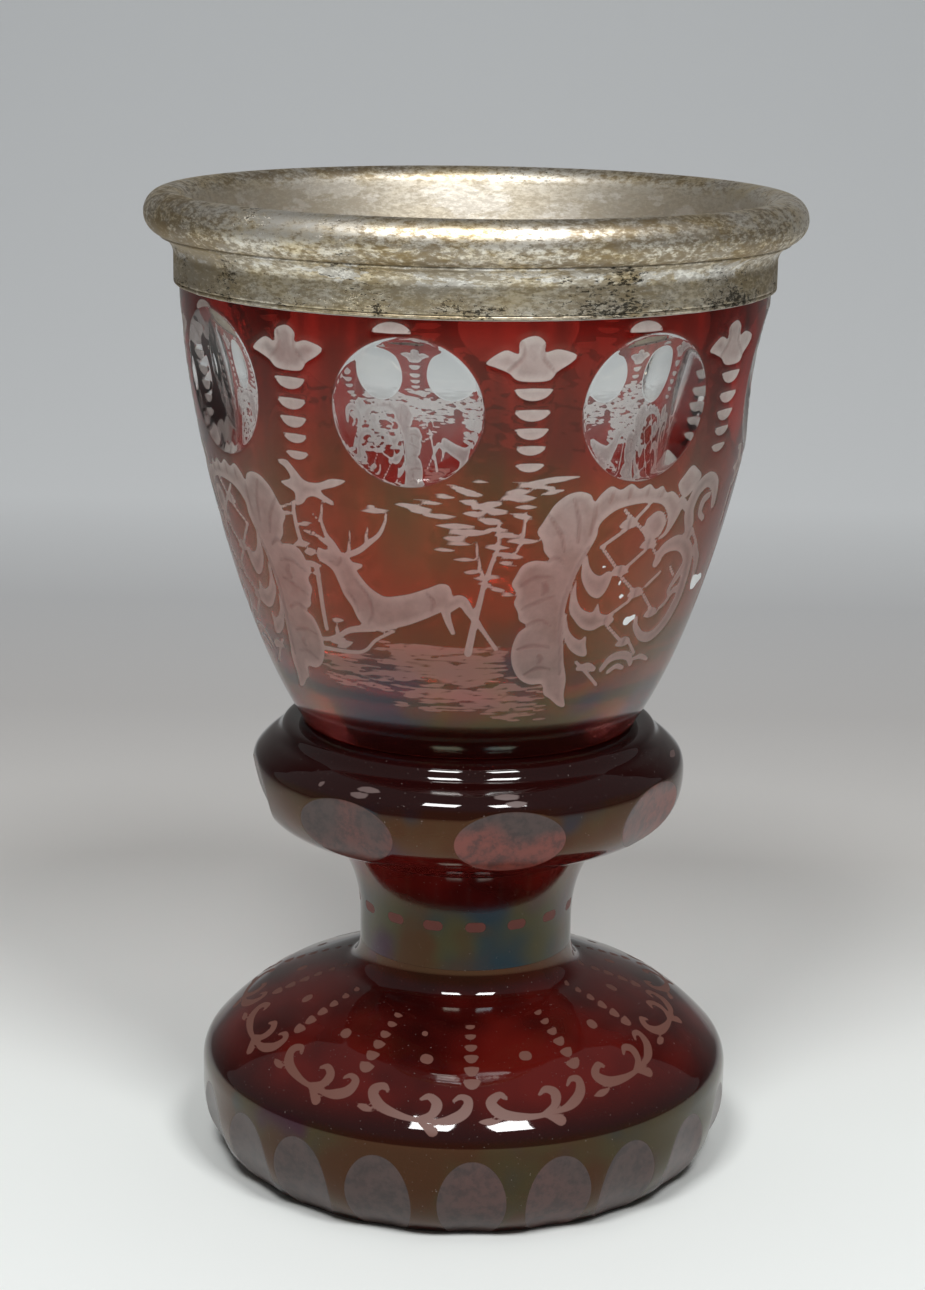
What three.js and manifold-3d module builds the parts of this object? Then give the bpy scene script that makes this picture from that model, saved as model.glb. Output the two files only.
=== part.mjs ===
// Footed cup: a blown glass bowl on a cut glass collar, stem and foot, with a metal mount round its mouth.
// Units are millimetres and +Z is up. The origin is the centre of the foot's underside.
// Angles round the cup are in degrees: 0 faces the front (-Y), and positive turns to the right (+X).
import * as THREE from 'three';
import { mergeVertices } from 'three/addons/utils/BufferGeometryUtils.js';
import Module from 'manifold-3d';

// Foot: a thick domed disc that narrows to its base.
const FOOT_HEIGHT = 36;
const FOOT_RADIUS = 43.9;
const FOOT_WIDEST_Z = 11.5;
const FOOT_FLARE_Z = 4.1;
const BASE_RADIUS = 38.4;
const SHOULDER_RADIUS = 38.6;
const SHOULDER_Z = 24.5;
const SHOULDER_FULLNESS = 21.5;
const DOME_RADIUS = 26.6;
const DOME_Z = 30;
const DOME_FILLET_Z = 33;
const PONTIL_RADIUS = 13;
const PONTIL_DEPTH = 1.6;

// Stem: a short waisted column.
const STEM_HEIGHT = 17;
const STEM_RADIUS = 17.6;
const STEM_STRAIGHT = 4;
const STEM_FLARE = 7.5;
const STEM_TOP_RADIUS = 21.5;

// Collar: a thick ring between the stem and the bowl, with a small lip where the bowl sits.
const COLLAR_HEIGHT = 21.2;
const COLLAR_RADIUS = 35.5;
const COLLAR_WIDEST_Z = 13;
const COLLAR_UNDERSIDE_RADIUS = 30.2;
const COLLAR_UNDERSIDE_Z = 3.9;
const COLLAR_UNDERSIDE_FULLNESS = 6.4;
const COLLAR_TOP_RADIUS = 32.6;
const COLLAR_TOP_DROP = 1.9;
const COLLAR_TOP_FULLNESS = 3.3;
const COLLAR_LIP_WIDTH = 1.3;
const COLLAR_LIP_HEIGHT = 0.9;

// Bowl: a flared beaker whose wall is a cubic curve from its base to its mouth.
const BOWL_HEIGHT = 74.3;
const BOWL_BASE_RADIUS = 27;
const BOWL_BELLY_RADIUS = 37.6;
const BOWL_BELLY_Z = 15.1;
const BOWL_UPPER_RADIUS = 46.4;
const BOWL_UPPER_Z = 52.3;
const MOUTH_RADIUS = 46.7;
const BOWL_WALL = 3.3;
const BOWL_FLOOR = 10.2;

// Mount: a rolled rim with a lining inside the mouth, a skirt outside it, and a wire under the skirt.
const SHEET = 0.6;
const FIT_GAP = 0.05;
const LINING_GAP = 0.2;
const LINING_DEPTH = 8;
const FUNNEL_SLOPE = 18;
const ROLL_OFFSET = 2;
const ROLL_RADIUS = 3.5;
const ROLL_RISE = 7.7;
const ROLL_EDGE_ANGLE = -65;
const CEMENT_THICKNESS = 0.2;
const CEMENT_DROP = 3.45;
const WIRE_RADIUS = 0.3;
const SKIRT_DROP = 2.6;
const CREASE_RISE = 1.5;
const FLARE_WIDTH = 2.15;
const FLARE_HEIGHT = 2.6;

// Rounded lens cuts: a flat across the curve, deepest in the middle. The angles of those at the front are
// given, as they were spaced by hand. The others fill the rest of the circle evenly.
const BOWL_LENSES = {
  count: 8,
  front: [-59.2, -12.4, 35, 81.8],
  middle: 57,
  halfHeight: 11.1,
  depth: 1.63,
};
const COLLAR_LENSES = {
  count: 8,
  front: [-79.5, -33.6, 11.3, 58.9],
  middle: 9.8,
  halfHeight: 5.4,
  depth: 1.1,
};
const FOOT_LENSES = {
  count: 20,
  front: [-71.6, -53, -36.5, -17.9, 2.1, 20.8, 37.7, 56.6, 75.2],
  middle: 6.2,
  halfHeight: 8.1,
  depth: 0.34,
};

const AROUND = 40;
const CURVE_STEPS = 4;
const WALL_STEPS = 10;
const FIRST_INNER_STEP = 2;
const LENS_STEPS = 4;

// Heights where the pieces meet.
const STEM_Z = FOOT_HEIGHT;
const COLLAR_Z = STEM_Z + STEM_HEIGHT;
const BOWL_Z = COLLAR_Z + COLLAR_HEIGHT;
const LIP_Z = BOWL_Z + BOWL_HEIGHT;
const LIP_STRAIGHT = CEMENT_DROP + 0.1;

const RUBY = new THREE.MeshStandardMaterial({ color: 0x8a1510, roughness: 0.08, metalness: 0 });
const DARK_RUBY = new THREE.MeshStandardMaterial({ color: 0x3a0a08, roughness: 0.06, metalness: 0 });
const SILVER = new THREE.MeshStandardMaterial({ color: 0xa8a090, roughness: 0.35, metalness: 1 });
const PLASTER = new THREE.MeshStandardMaterial({ color: 0xd8d4c8, roughness: 0.95, metalness: 0 });

const wasm = await Module();
wasm.setup();

function radians(degrees) {
  return THREE.MathUtils.degToRad(degrees);
}

// Turn a closed profile, given anticlockwise as radius and height, round the Z axis.
function turned(profile) {
  const geometry = new THREE.LatheGeometry(profile, AROUND);
  geometry.rotateX(Math.PI / 2);
  return geometry;
}

function toSolid(geometry) {
  const bare = geometry.clone();
  bare.deleteAttribute('normal');
  bare.deleteAttribute('uv');
  const merged = mergeVertices(bare, 1e-4);
  const index = merged.index.array;
  const faces = [];
  for (let i = 0; i < index.length; i += 3) {
    const [a, b, c] = [index[i], index[i + 1], index[i + 2]];
    if (a !== b && b !== c && c !== a) {
      faces.push(a, b, c);
    }
  }
  const vertProperties = new Float32Array(merged.attributes.position.array);
  const triVerts = new Uint32Array(faces);
  return new wasm.Manifold(new wasm.Mesh({ numProp: 3, vertProperties, triVerts }));
}

function toGeometry(solid) {
  const mesh = solid.getMesh();
  const geometry = new THREE.BufferGeometry();
  geometry.setAttribute('position', new THREE.BufferAttribute(mesh.vertProperties, 3));
  geometry.setIndex(new THREE.BufferAttribute(mesh.triVerts, 1));
  geometry.computeVertexNormals();
  return geometry;
}

// The radius of an outline, listed from bottom to top, at one height.
function radiusAt(outline, z) {
  for (let i = 1; i < outline.length; i += 1) {
    const [low, high] = [outline[i - 1], outline[i]];
    if (z <= high.y && high.y > low.y) {
      return low.x + (high.x - low.x) * Math.max(0, z - low.y) / (high.y - low.y);
    }
  }
  return outline[outline.length - 1].x;
}

// One cutter: the space outside the lens's own line, carried straight across the piece.
function lensCutter(outline, lens, baseZ, azimuth) {
  const reach = 6;
  const middle = baseZ + lens.middle;
  const widest = radiusAt(outline, middle);
  const halfWidth = Math.sqrt(2 * widest * lens.depth);
  const shape = new THREE.Shape();
  shape.moveTo(widest + reach, middle - lens.halfHeight);
  for (let i = 0; i <= LENS_STEPS; i += 1) {
    const t = 2 * i / LENS_STEPS - 1;
    const z = middle + t * lens.halfHeight;
    shape.lineTo(radiusAt(outline, z) - lens.depth * (1 - t * t), z);
  }
  shape.lineTo(widest + reach, middle + lens.halfHeight);
  const depth = 2 * halfWidth + reach;
  const geometry = new THREE.ExtrudeGeometry(shape, { depth, bevelEnabled: false });
  geometry.translate(0, 0, -depth / 2);
  geometry.rotateX(Math.PI / 2);
  geometry.rotateZ(radians(azimuth - 90));
  return geometry;
}

function lensAngles(lens) {
  const last = lens.front[lens.front.length - 1];
  const others = lens.count - lens.front.length;
  const step = (360 + lens.front[0] - last) / (others + 1);
  const angles = [...lens.front];
  for (let i = 1; i <= others; i += 1) {
    angles.push(last + step * i);
  }
  return angles;
}

function cutLenses(geometry, outline, lens, baseZ) {
  let solid = toSolid(geometry);
  for (const azimuth of lensAngles(lens)) {
    solid = solid.subtract(toSolid(lensCutter(outline, lens, baseZ, azimuth)));
  }
  return toGeometry(solid);
}

function footGeometry() {
  const path = new THREE.Path();
  path.moveTo(BASE_RADIUS, 0);
  path.quadraticCurveTo(FOOT_RADIUS, FOOT_FLARE_Z, FOOT_RADIUS, FOOT_WIDEST_Z);
  path.quadraticCurveTo(FOOT_RADIUS, SHOULDER_FULLNESS, SHOULDER_RADIUS, SHOULDER_Z);
  path.lineTo(DOME_RADIUS, DOME_Z);
  path.quadraticCurveTo(STEM_RADIUS, DOME_FILLET_Z, STEM_RADIUS, FOOT_HEIGHT);
  const outline = path.getPoints(CURVE_STEPS);
  const pontil = new THREE.Path();
  pontil.moveTo(0, PONTIL_DEPTH);
  pontil.quadraticCurveTo(PONTIL_RADIUS / 2, PONTIL_DEPTH, PONTIL_RADIUS, 0);
  const profile = [...pontil.getPoints(CURVE_STEPS), ...outline, new THREE.Vector2(0, FOOT_HEIGHT)];
  return cutLenses(turned(profile), outline, FOOT_LENSES, 0);
}

function stemGeometry() {
  const path = new THREE.Path();
  path.moveTo(0, STEM_Z);
  path.lineTo(STEM_RADIUS, STEM_Z);
  path.lineTo(STEM_RADIUS, STEM_Z + STEM_STRAIGHT);
  path.quadraticCurveTo(STEM_RADIUS, STEM_Z + STEM_STRAIGHT + STEM_FLARE, STEM_TOP_RADIUS, COLLAR_Z);
  path.lineTo(0, COLLAR_Z);
  return turned(path.getPoints(CURVE_STEPS));
}

function collarGeometry() {
  const path = new THREE.Path();
  const topZ = BOWL_Z - COLLAR_TOP_DROP;
  const lipFootZ = BOWL_Z - COLLAR_LIP_HEIGHT;
  const lipRadius = BOWL_BASE_RADIUS + COLLAR_LIP_WIDTH;
  const widestZ = COLLAR_Z + COLLAR_WIDEST_Z;
  const fullZ = COLLAR_Z + COLLAR_UNDERSIDE_FULLNESS;
  path.moveTo(STEM_TOP_RADIUS, COLLAR_Z);
  path.lineTo(COLLAR_UNDERSIDE_RADIUS, COLLAR_Z + COLLAR_UNDERSIDE_Z);
  path.quadraticCurveTo(COLLAR_RADIUS, fullZ, COLLAR_RADIUS, widestZ);
  path.quadraticCurveTo(COLLAR_RADIUS, BOWL_Z - COLLAR_TOP_FULLNESS, COLLAR_TOP_RADIUS, topZ);
  path.lineTo(lipRadius + COLLAR_LIP_WIDTH, lipFootZ);
  path.quadraticCurveTo(lipRadius, BOWL_Z, BOWL_BASE_RADIUS, BOWL_Z);
  const outline = path.getPoints(CURVE_STEPS);
  const profile = [new THREE.Vector2(0, COLLAR_Z), ...outline, new THREE.Vector2(0, BOWL_Z)];
  return cutLenses(turned(profile), outline, COLLAR_LENSES, COLLAR_Z);
}

// The bowl's outer line, and its inner line one wall's thickness inside it, both from bottom to top.
const bowlCurve = new THREE.CubicBezierCurve(
  new THREE.Vector2(BOWL_BASE_RADIUS, BOWL_Z),
  new THREE.Vector2(BOWL_BELLY_RADIUS, BOWL_Z + BOWL_BELLY_Z),
  new THREE.Vector2(BOWL_UPPER_RADIUS, BOWL_Z + BOWL_UPPER_Z),
  new THREE.Vector2(MOUTH_RADIUS, LIP_Z - LIP_STRAIGHT),
);
const bowlOutside = bowlCurve.getPoints(WALL_STEPS);
const bowlInside = bowlOutside.slice(FIRST_INNER_STEP).map((point, i) => {
  const along = bowlCurve.getTangent((i + FIRST_INNER_STEP) / WALL_STEPS);
  return new THREE.Vector2(point.x - along.y * BOWL_WALL, point.y + along.x * BOWL_WALL);
});

function bowlGeometry() {
  const floorZ = BOWL_Z + BOWL_FLOOR;
  const corner = new THREE.Vector2(radiusAt(bowlOutside, floorZ) - BOWL_WALL, floorZ);
  const bottom = new THREE.QuadraticBezierCurve(new THREE.Vector2(0, floorZ), corner, bowlInside[0]);
  const inside = [
    ...bottom.getPoints(CURVE_STEPS).slice(0, -1),
    ...bowlInside,
    new THREE.Vector2(MOUTH_RADIUS - BOWL_WALL, LIP_Z),
  ];
  const outside = [...bowlOutside, new THREE.Vector2(MOUTH_RADIUS, LIP_Z)];
  const profile = [new THREE.Vector2(0, BOWL_Z), ...outside, ...inside.reverse()];
  return cutLenses(turned(profile), bowlOutside, BOWL_LENSES, BOWL_Z);
}

// Radii and heights that the mount's pieces share.
const liningZ = LIP_Z - LINING_DEPTH;
const liningSpace = Math.min(radiusAt(bowlInside, liningZ), MOUTH_RADIUS - BOWL_WALL);
const liningRadius = liningSpace - LINING_GAP - SHEET;
const rollCentre = new THREE.Vector2(MOUTH_RADIUS + ROLL_OFFSET, LIP_Z + ROLL_RISE);
const funnelTopAngle = 180 - FUNNEL_SLOPE;
const skirtInside = MOUTH_RADIUS + 2 * FIT_GAP + CEMENT_THICKNESS;
const skirtOutside = skirtInside + SHEET;
const skirtZ = LIP_Z - SKIRT_DROP;
const creaseZ = LIP_Z + CREASE_RISE;

function onRoll(radius, angle) {
  const a = radians(angle);
  return new THREE.Vector2(rollCentre.x + radius * Math.cos(a), rollCentre.y + radius * Math.sin(a));
}

// The height where the funnel under the roll reaches a radius, and the other way round.
function funnelZ(start, radius) {
  return start.y - (start.x - radius) / Math.tan(radians(FUNNEL_SLOPE));
}

function funnelRadius(start, z) {
  return Math.max(liningRadius + SHEET, start.x - (start.y - z) * Math.tan(radians(FUNNEL_SLOPE)));
}

function rollGeometry() {
  const steps = 9;
  const hollow = ROLL_RADIUS - SHEET;
  const profile = [];
  for (let i = 0; i <= steps; i += 1) {
    profile.push(onRoll(ROLL_RADIUS, ROLL_EDGE_ANGLE + (funnelTopAngle - ROLL_EDGE_ANGLE) * i / steps));
  }
  const faceZ = funnelZ(profile[steps], liningRadius);
  const backStart = onRoll(hollow, funnelTopAngle);
  const backRadius = liningRadius + SHEET;
  profile.push(new THREE.Vector2(liningRadius, faceZ));
  profile.push(new THREE.Vector2(liningRadius, liningZ));
  profile.push(new THREE.Vector2(backRadius, liningZ));
  profile.push(new THREE.Vector2(backRadius, funnelZ(backStart, backRadius)));
  for (let i = steps; i >= 0; i -= 1) {
    profile.push(onRoll(hollow, ROLL_EDGE_ANGLE + (funnelTopAngle - ROLL_EDGE_ANGLE) * i / steps));
  }
  profile.push(profile[0].clone());
  return turned(profile);
}

// The skirt's hollow flare, as its outer face and its back, both from bottom to top.
const flareZ = creaseZ + FLARE_HEIGHT;
const flareRadius = skirtOutside + FLARE_WIDTH;
const hollowZ = creaseZ + 0.75 * FLARE_HEIGHT;
const flareFace = new THREE.QuadraticBezierCurve(
  new THREE.Vector2(skirtOutside, creaseZ),
  new THREE.Vector2(skirtOutside + SHEET / 2, hollowZ),
  new THREE.Vector2(flareRadius, flareZ),
);
const flareBack = new THREE.QuadraticBezierCurve(
  new THREE.Vector2(skirtInside, creaseZ),
  new THREE.Vector2(skirtInside + SHEET / 3, hollowZ + SHEET),
  new THREE.Vector2(flareRadius - SHEET / 3, flareZ + SHEET),
);

function skirtGeometry() {
  const profile = [
    new THREE.Vector2(skirtInside, skirtZ),
    new THREE.Vector2(skirtOutside, skirtZ),
    ...flareFace.getPoints(CURVE_STEPS),
    ...flareBack.getPoints(CURVE_STEPS).reverse(),
    new THREE.Vector2(skirtInside, skirtZ),
  ];
  return turned(profile);
}

function wireGeometry() {
  const path = new THREE.Path();
  const r = skirtInside + WIRE_RADIUS;
  const z = skirtZ - FIT_GAP - WIRE_RADIUS;
  path.absarc(r, z, WIRE_RADIUS, 0, 2 * Math.PI, false);
  return turned(path.getPoints(CURVE_STEPS));
}

// The cement fills the space between the glass lip, the skirt and the hollow of the roll.
function cementGeometry() {
  const inner = MOUTH_RADIUS + FIT_GAP;
  const outer = inner + CEMENT_THICKNESS;
  const behindFlare = flareBack.getPoints(CURVE_STEPS).slice(0, -1);
  const lipTop = LIP_Z + FIT_GAP;
  const bottom = LIP_Z - CEMENT_DROP;
  const hollow = ROLL_RADIUS - SHEET;
  const backStart = onRoll(hollow, funnelTopAngle);
  const shelfZ = lipTop + SHEET;
  const profile = [
    new THREE.Vector2(inner, bottom),
    new THREE.Vector2(outer, bottom),
    ...behindFlare.map((point) => new THREE.Vector2(point.x - FIT_GAP, point.y + FIT_GAP)),
    onRoll(0.6 * hollow, -90),
    onRoll(0.6 * hollow, -150),
    new THREE.Vector2(funnelRadius(backStart, shelfZ) + LINING_GAP, shelfZ),
    new THREE.Vector2(funnelRadius(backStart, lipTop) + LINING_GAP, lipTop),
    new THREE.Vector2(inner, lipTop),
    new THREE.Vector2(inner, bottom),
  ];
  return turned(profile);
}

function named(name, geometry, material) {
  const mesh = new THREE.Mesh(geometry, material);
  mesh.name = name;
  return mesh;
}

const cup = new THREE.Group();
cup.add(named('glass_foot', footGeometry(), DARK_RUBY));
cup.add(named('glass_stem', stemGeometry(), DARK_RUBY));
cup.add(named('glass_collar', collarGeometry(), DARK_RUBY));
cup.add(named('glass_bowl', bowlGeometry(), RUBY));
cup.add(named('rim_roll', rollGeometry(), SILVER));
cup.add(named('rim_skirt', skirtGeometry(), SILVER));
cup.add(named('rim_wire', wireGeometry(), SILVER));
cup.add(named('rim_cement', cementGeometry(), PLASTER));

export default cup;
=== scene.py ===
# %% [markdown]
# # A footed glass cup with a metal rim
# The real cup is ruby glass. A flared bowl stands on a thick collar, a short stem and a domed foot.
# Wheel-cut windows and a frosted frieze go round the bowl, and a rolled silver rim is cemented to its mouth.
# The solids are loaded first as a fixed frame. Everything made here is fitted to them, in metres.

# %% Load the frame
import math

import bpy
import numpy as np
from mathutils import Matrix, Vector


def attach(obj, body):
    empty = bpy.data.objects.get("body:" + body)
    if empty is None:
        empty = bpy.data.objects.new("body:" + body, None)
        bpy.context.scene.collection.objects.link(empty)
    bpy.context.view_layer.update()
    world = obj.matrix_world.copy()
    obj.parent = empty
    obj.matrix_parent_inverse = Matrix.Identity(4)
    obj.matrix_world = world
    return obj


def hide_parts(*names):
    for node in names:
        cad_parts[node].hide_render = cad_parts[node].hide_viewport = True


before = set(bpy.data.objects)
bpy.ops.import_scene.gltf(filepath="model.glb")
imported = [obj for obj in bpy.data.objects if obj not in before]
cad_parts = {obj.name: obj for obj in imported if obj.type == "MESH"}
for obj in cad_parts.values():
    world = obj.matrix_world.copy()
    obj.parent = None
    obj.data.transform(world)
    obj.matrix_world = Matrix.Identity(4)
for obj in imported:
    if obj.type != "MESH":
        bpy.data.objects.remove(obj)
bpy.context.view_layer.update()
MM = 0.001

# %% [markdown]
# ## The camera
# A cup photographed from a little above shows its rim as a narrow ellipse and its foot as a wide one.
# How fast the ellipses open from rim to foot gives the distance of the camera, and their size gives the lens.
# The camera looks down by its tilt, and a small pan and roll turn it the rest of the way.

# %% Set up the camera
def metres(place):
    """A place given in mm, as a vector in metres."""
    return Vector([c * MM for c in place])


def rotation(axis, degrees):
    """A turn about one axis, as a 3x3 array."""
    return np.array(Matrix.Rotation(math.radians(degrees), 3, axis))


CAMERA_PLACE = (0, -452.2, 197.8)
CAMERA_TILT = 13.9
CAMERA_ROLL = 0.82
CAMERA_PAN = 0.15
CAMERA_LENS = 79.5
camera = bpy.data.objects.new("camera", bpy.data.cameras.new("camera"))
bpy.context.scene.collection.objects.link(camera)
bpy.context.scene.camera = camera
camera.data.lens = CAMERA_LENS
camera.data.clip_start = 0.01
turned = rotation("Z", CAMERA_PAN) @ rotation("X", 90 - CAMERA_TILT) @ rotation("Z", CAMERA_ROLL)
camera.matrix_world = Matrix.Translation(metres(CAMERA_PLACE)) @ Matrix(turned).to_4x4()
print("camera distance in mm:", round(math.hypot(*CAMERA_PLACE), 1))

# %% [markdown]
# ## Profiles and surfaces of revolution
# Blown and turned glass is round, so every piece starts as a profile: a list of radius and height.
# Curves in a profile are Bezier curves, which need few numbers and are smooth by construction.
# The surface itself is a grid: one row for each point of the profile, one column for each angle.
# A maker could also spin a curve or use a Screw modifier, but a grid can be shifted point by point.

# %% Helpers for profiles
def bezier(points, count):
    """The Bernstein sum of the control points, at evenly spaced parameters from 0 to 1."""
    t = np.linspace(0, 1, count)[:, None]
    points = np.asarray(points, float)
    n = len(points) - 1
    return sum(math.comb(n, i) * t**i * (1 - t) ** (n - i) * p for i, p in enumerate(points))


def chain(*parts):
    """Stretches of a profile joined end to end, with points that repeat left out."""
    line = np.vstack([np.atleast_2d(np.asarray(p, float)) for p in parts])
    keep = np.concatenate([[True], np.hypot(*np.diff(line, axis=0).T) > 1e-6])
    return line[keep]


def lengths(line):
    """The length along a profile, from its start to each point."""
    return np.concatenate([[0], np.cumsum(np.hypot(*np.diff(line, axis=0).T))])


def stretch(line, start, stop, spacing):
    """Part of a profile, between two lengths along it, with points at even steps."""
    along = lengths(line)
    wanted = np.linspace(start, stop, max(2, round((stop - start) / spacing) + 1))
    return np.stack([np.interp(wanted, along, line[:, k]) for k in (0, 1)], -1)


def evenly(line, spacing):
    """The whole profile again, with points at even steps along its length."""
    return stretch(line, 0, lengths(line)[-1], spacing)


def outward(line):
    """Unit normals of a profile, pointing to the right of its direction of travel."""
    d = np.gradient(line, axis=0)
    d /= np.maximum(np.hypot(*d.T), 1e-9)[:, None]
    return np.stack([d[:, 1], -d[:, 0]], -1)


# %% [markdown]
# A closed piece is either a ring, whose profile is a loop, or a body, whose profile starts and ends on the
# axis. On a body the two end rows shrink to one point each, and a fan of triangles closes the surface there.

# %% Turn grids into meshes
def link_mesh(name, vertices, faces, marks=None):
    """A smooth mesh object in metres from vertices in mm, with a float attribute for each entry of marks."""
    mesh = bpy.data.meshes.new(name)
    mesh.from_pydata((vertices * MM).tolist(), [], faces)
    for mark, values in (marks or {}).items():
        mesh.attributes.new(mark, "FLOAT", "POINT").data.foreach_set("value", values.astype(np.float32))
    mesh.polygons.foreach_set("use_smooth", np.ones(len(mesh.polygons), bool))
    mesh.update()
    piece = bpy.data.objects.new(name, mesh)
    bpy.context.scene.collection.objects.link(piece)
    print(name, "has", sum(len(f) - 2 for f in faces), "triangles")
    return piece


def quads(rows, columns, loop):
    """Faces between neighbouring rows and columns. The columns always close, the rows only in a loop."""
    i = np.arange(rows if loop else rows - 1)[:, None]
    j = np.arange(columns)[None, :]
    below, above = i * columns, (i + 1) % rows * columns
    right = (j + 1) % columns
    return np.stack([below + j, below + right, above + right, above + j], -1).reshape(-1, 4)


def turned_piece(name, profile, angles, loop=False, shift=None, marks=None):
    """Each profile point (r, z) goes to (r sin a, -r cos a, z), so that angle 0 is the front.

    shift moves points along the profile's normal by that many mm. On a body the end rows lie on the axis.
    """
    normal = outward(profile)
    amount = np.zeros((len(profile), len(angles))) if shift is None else shift
    r = profile[:, :1] + normal[:, :1] * amount
    z = profile[:, 1:] + normal[:, 1:] * amount
    grid = np.stack([r * np.sin(angles), -r * np.cos(angles), z], -1)
    marks = marks or {}
    if loop:
        faces = quads(len(profile), len(angles), True)
        flat = {k: v.ravel() for k, v in marks.items()}
        return link_mesh(name, grid.reshape(-1, 3), faces.tolist(), flat)
    inner = grid[1:-1]
    columns = len(angles)
    faces = quads(len(inner), columns, False).tolist()
    vertices = np.vstack([inner.reshape(-1, 3), grid[0, :1], grid[-1, :1]])
    first, last = len(vertices) - 2, len(vertices) - 1
    top_row = (len(inner) - 1) * columns
    for j in range(columns):
        k = (j + 1) % columns
        faces.append([first, k, j])
        faces.append([last, top_row + j, top_row + k])
    flat = {k: np.concatenate([v[1:-1].ravel(), v[0, :1], v[-1, :1]]) for k, v in marks.items()}
    return link_mesh(name, vertices, faces, flat)


# %% [markdown]
# ## The shapes of the glass
# The four glass bodies share their meeting heights: foot, stem, collar and bowl stand on each other.
# Their profiles follow the cup's outline. A hair's width is left between bodies so they never overlap.

# %% Profiles of the foot, stem, collar and bowl
HAIR = 0.005
STEM_Z = 36.0
COLLAR_Z = 53.0
BOWL_Z = 74.2
LIP_Z = 148.5
STEM_R = 17.6
COLLAR_R = 21.5
BOWL_R = 27
MOUTH_R = 46.7
MOUTH_IN = 43.4
foot_wall = chain(
    bezier([(38.4, 0), (43.9, 4.1), (43.9, 11.5)], 30),
    [(43.9, 15.2)],
    bezier([(43.9, 15.2), (43.9, 17.6), (42.3, 19.3)], 30),
    bezier([(42.3, 19.3), (38.2, 23.8), (33.5, 26.4)], 30),
    bezier([(33.5, 26.4), (25.0, 30.2), (20.4, 31.3)], 30),
    bezier([(20.4, 31.3), (17.9, 32.0), (STEM_R, STEM_Z - HAIR)], 30),
)
stem_wall = chain(
    [(STEM_R, STEM_Z + HAIR)],
    bezier([(STEM_R, 40), (STEM_R, 47.5), (COLLAR_R, COLLAR_Z - HAIR)], 24),
)
collar_wall = chain(
    [(COLLAR_R, COLLAR_Z + HAIR)],
    bezier([(30.2, 56.9), (35.5, 59.4), (35.5, 66)], 30),
    bezier([(35.5, 66), (35.5, 68.2), (34.7, 69.1)], 24),
    bezier([(34.7, 69.1), (33.3, 70.7), (32.0, 71.4)], 20),
    bezier([(32.0, 71.4), (31.0, 71.9), (30.6, 73.1)], 10),
    bezier([(30.6, 73.1), (30.0, BOWL_Z - HAIR), (BOWL_R, BOWL_Z - HAIR)], 16),
)
bowl_wall = chain(
    bezier([(BOWL_R, BOWL_Z + HAIR), (37.6, 89.35), (46.4, 126.5), (MOUTH_R, 144.95)], 200),
    [(MOUTH_R, LIP_Z)],
)
wall_top = lengths(bowl_wall)[-1]
print("length up the bowl's wall in mm:", round(wall_top, 1))

# %% [markdown]
# ## Columns round the cup
# Fine engraving needs fine columns. The front half gets more of them than the back.

# %% Angles of the columns
def column_angles(front_step, back_step):
    """Angles in radians once round, from steps in degrees for the front half and for the back half."""
    return np.radians(np.concatenate([np.arange(-90, 90, front_step), np.arange(90, 270, back_step)]))


def signed(angles):
    """Angles brought between -pi and pi."""
    return (angles + np.pi) % (2 * np.pi) - np.pi


# %% [markdown]
# ## Lens cuts
# A cutter holds the piece against the rim of a round stone, which leaves a shallow hollow with a crisp edge.
# The hollow is deepest in its middle: its depth falls off with the square of the distance, down to nothing
# at the edge. The cuts were spaced by eye, so the angles at the front are given and the others fill the
# circle. FAR stands for a place that is outside every cut.

# %% Where the lens cuts are
FAR = 9.0


def cut_angles(front, count):
    """The given angles in degrees, and evenly spaced ones through the rest of the circle."""
    step = (360 + front[0] - front[-1]) / (count - len(front) + 1)
    return np.array(list(front) + [front[-1] + step * i for i in range(1, count - len(front) + 1)])


def lens_field(angles, heights, reference, cuts, middle, half_width, half_height, rises=()):
    """For each grid point, the nearest lens's level: 0 in its middle, 1 on its edge, more outside."""
    field = np.full((len(heights), len(angles)), FAR)
    for i, cut in enumerate(cuts):
        rise = rises[i] if i < len(rises) else 0
        across = signed(angles - math.radians(cut)) * reference / half_width
        up = (heights - middle - rise) / half_height
        field = np.minimum(field, np.hypot(across[None, :], up[:, None]))
    return field


def hollow(level, depth):
    """A paraboloid that is depth below the surface in the middle and meets it at level 1."""
    return -depth * np.clip(1 - level**2, 0, 1)


BOWL_CUTS = cut_angles((-59.2, -12.4, 35.0, 81.8), 8)
COLLAR_CUTS = cut_angles((-79.5, -33.6, 11.3, 58.9), 8)
FOOT_CUTS = cut_angles((-71.6, -53, -36.5, -17.9, 2.1, 20.8, 37.7, 56.6, 75.2), 20)
print("bowl cuts at", np.round(BOWL_CUTS, 1))

# %% [markdown]
# ## A sheet of engraving
# Wheel engraving is drawing: a copper wheel cuts short strokes and broad hollows through the red skin.
# The wall is laid flat as a sheet, with mm round the cup and mm up the wall. Each figure is worked out there
# as a signed distance: below zero inside what is cut, above zero outside, so its edge stays sharp between
# points. Painting a picture onto the cup would also work, but a distance needs no image and can carve the
# mesh too.

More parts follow.
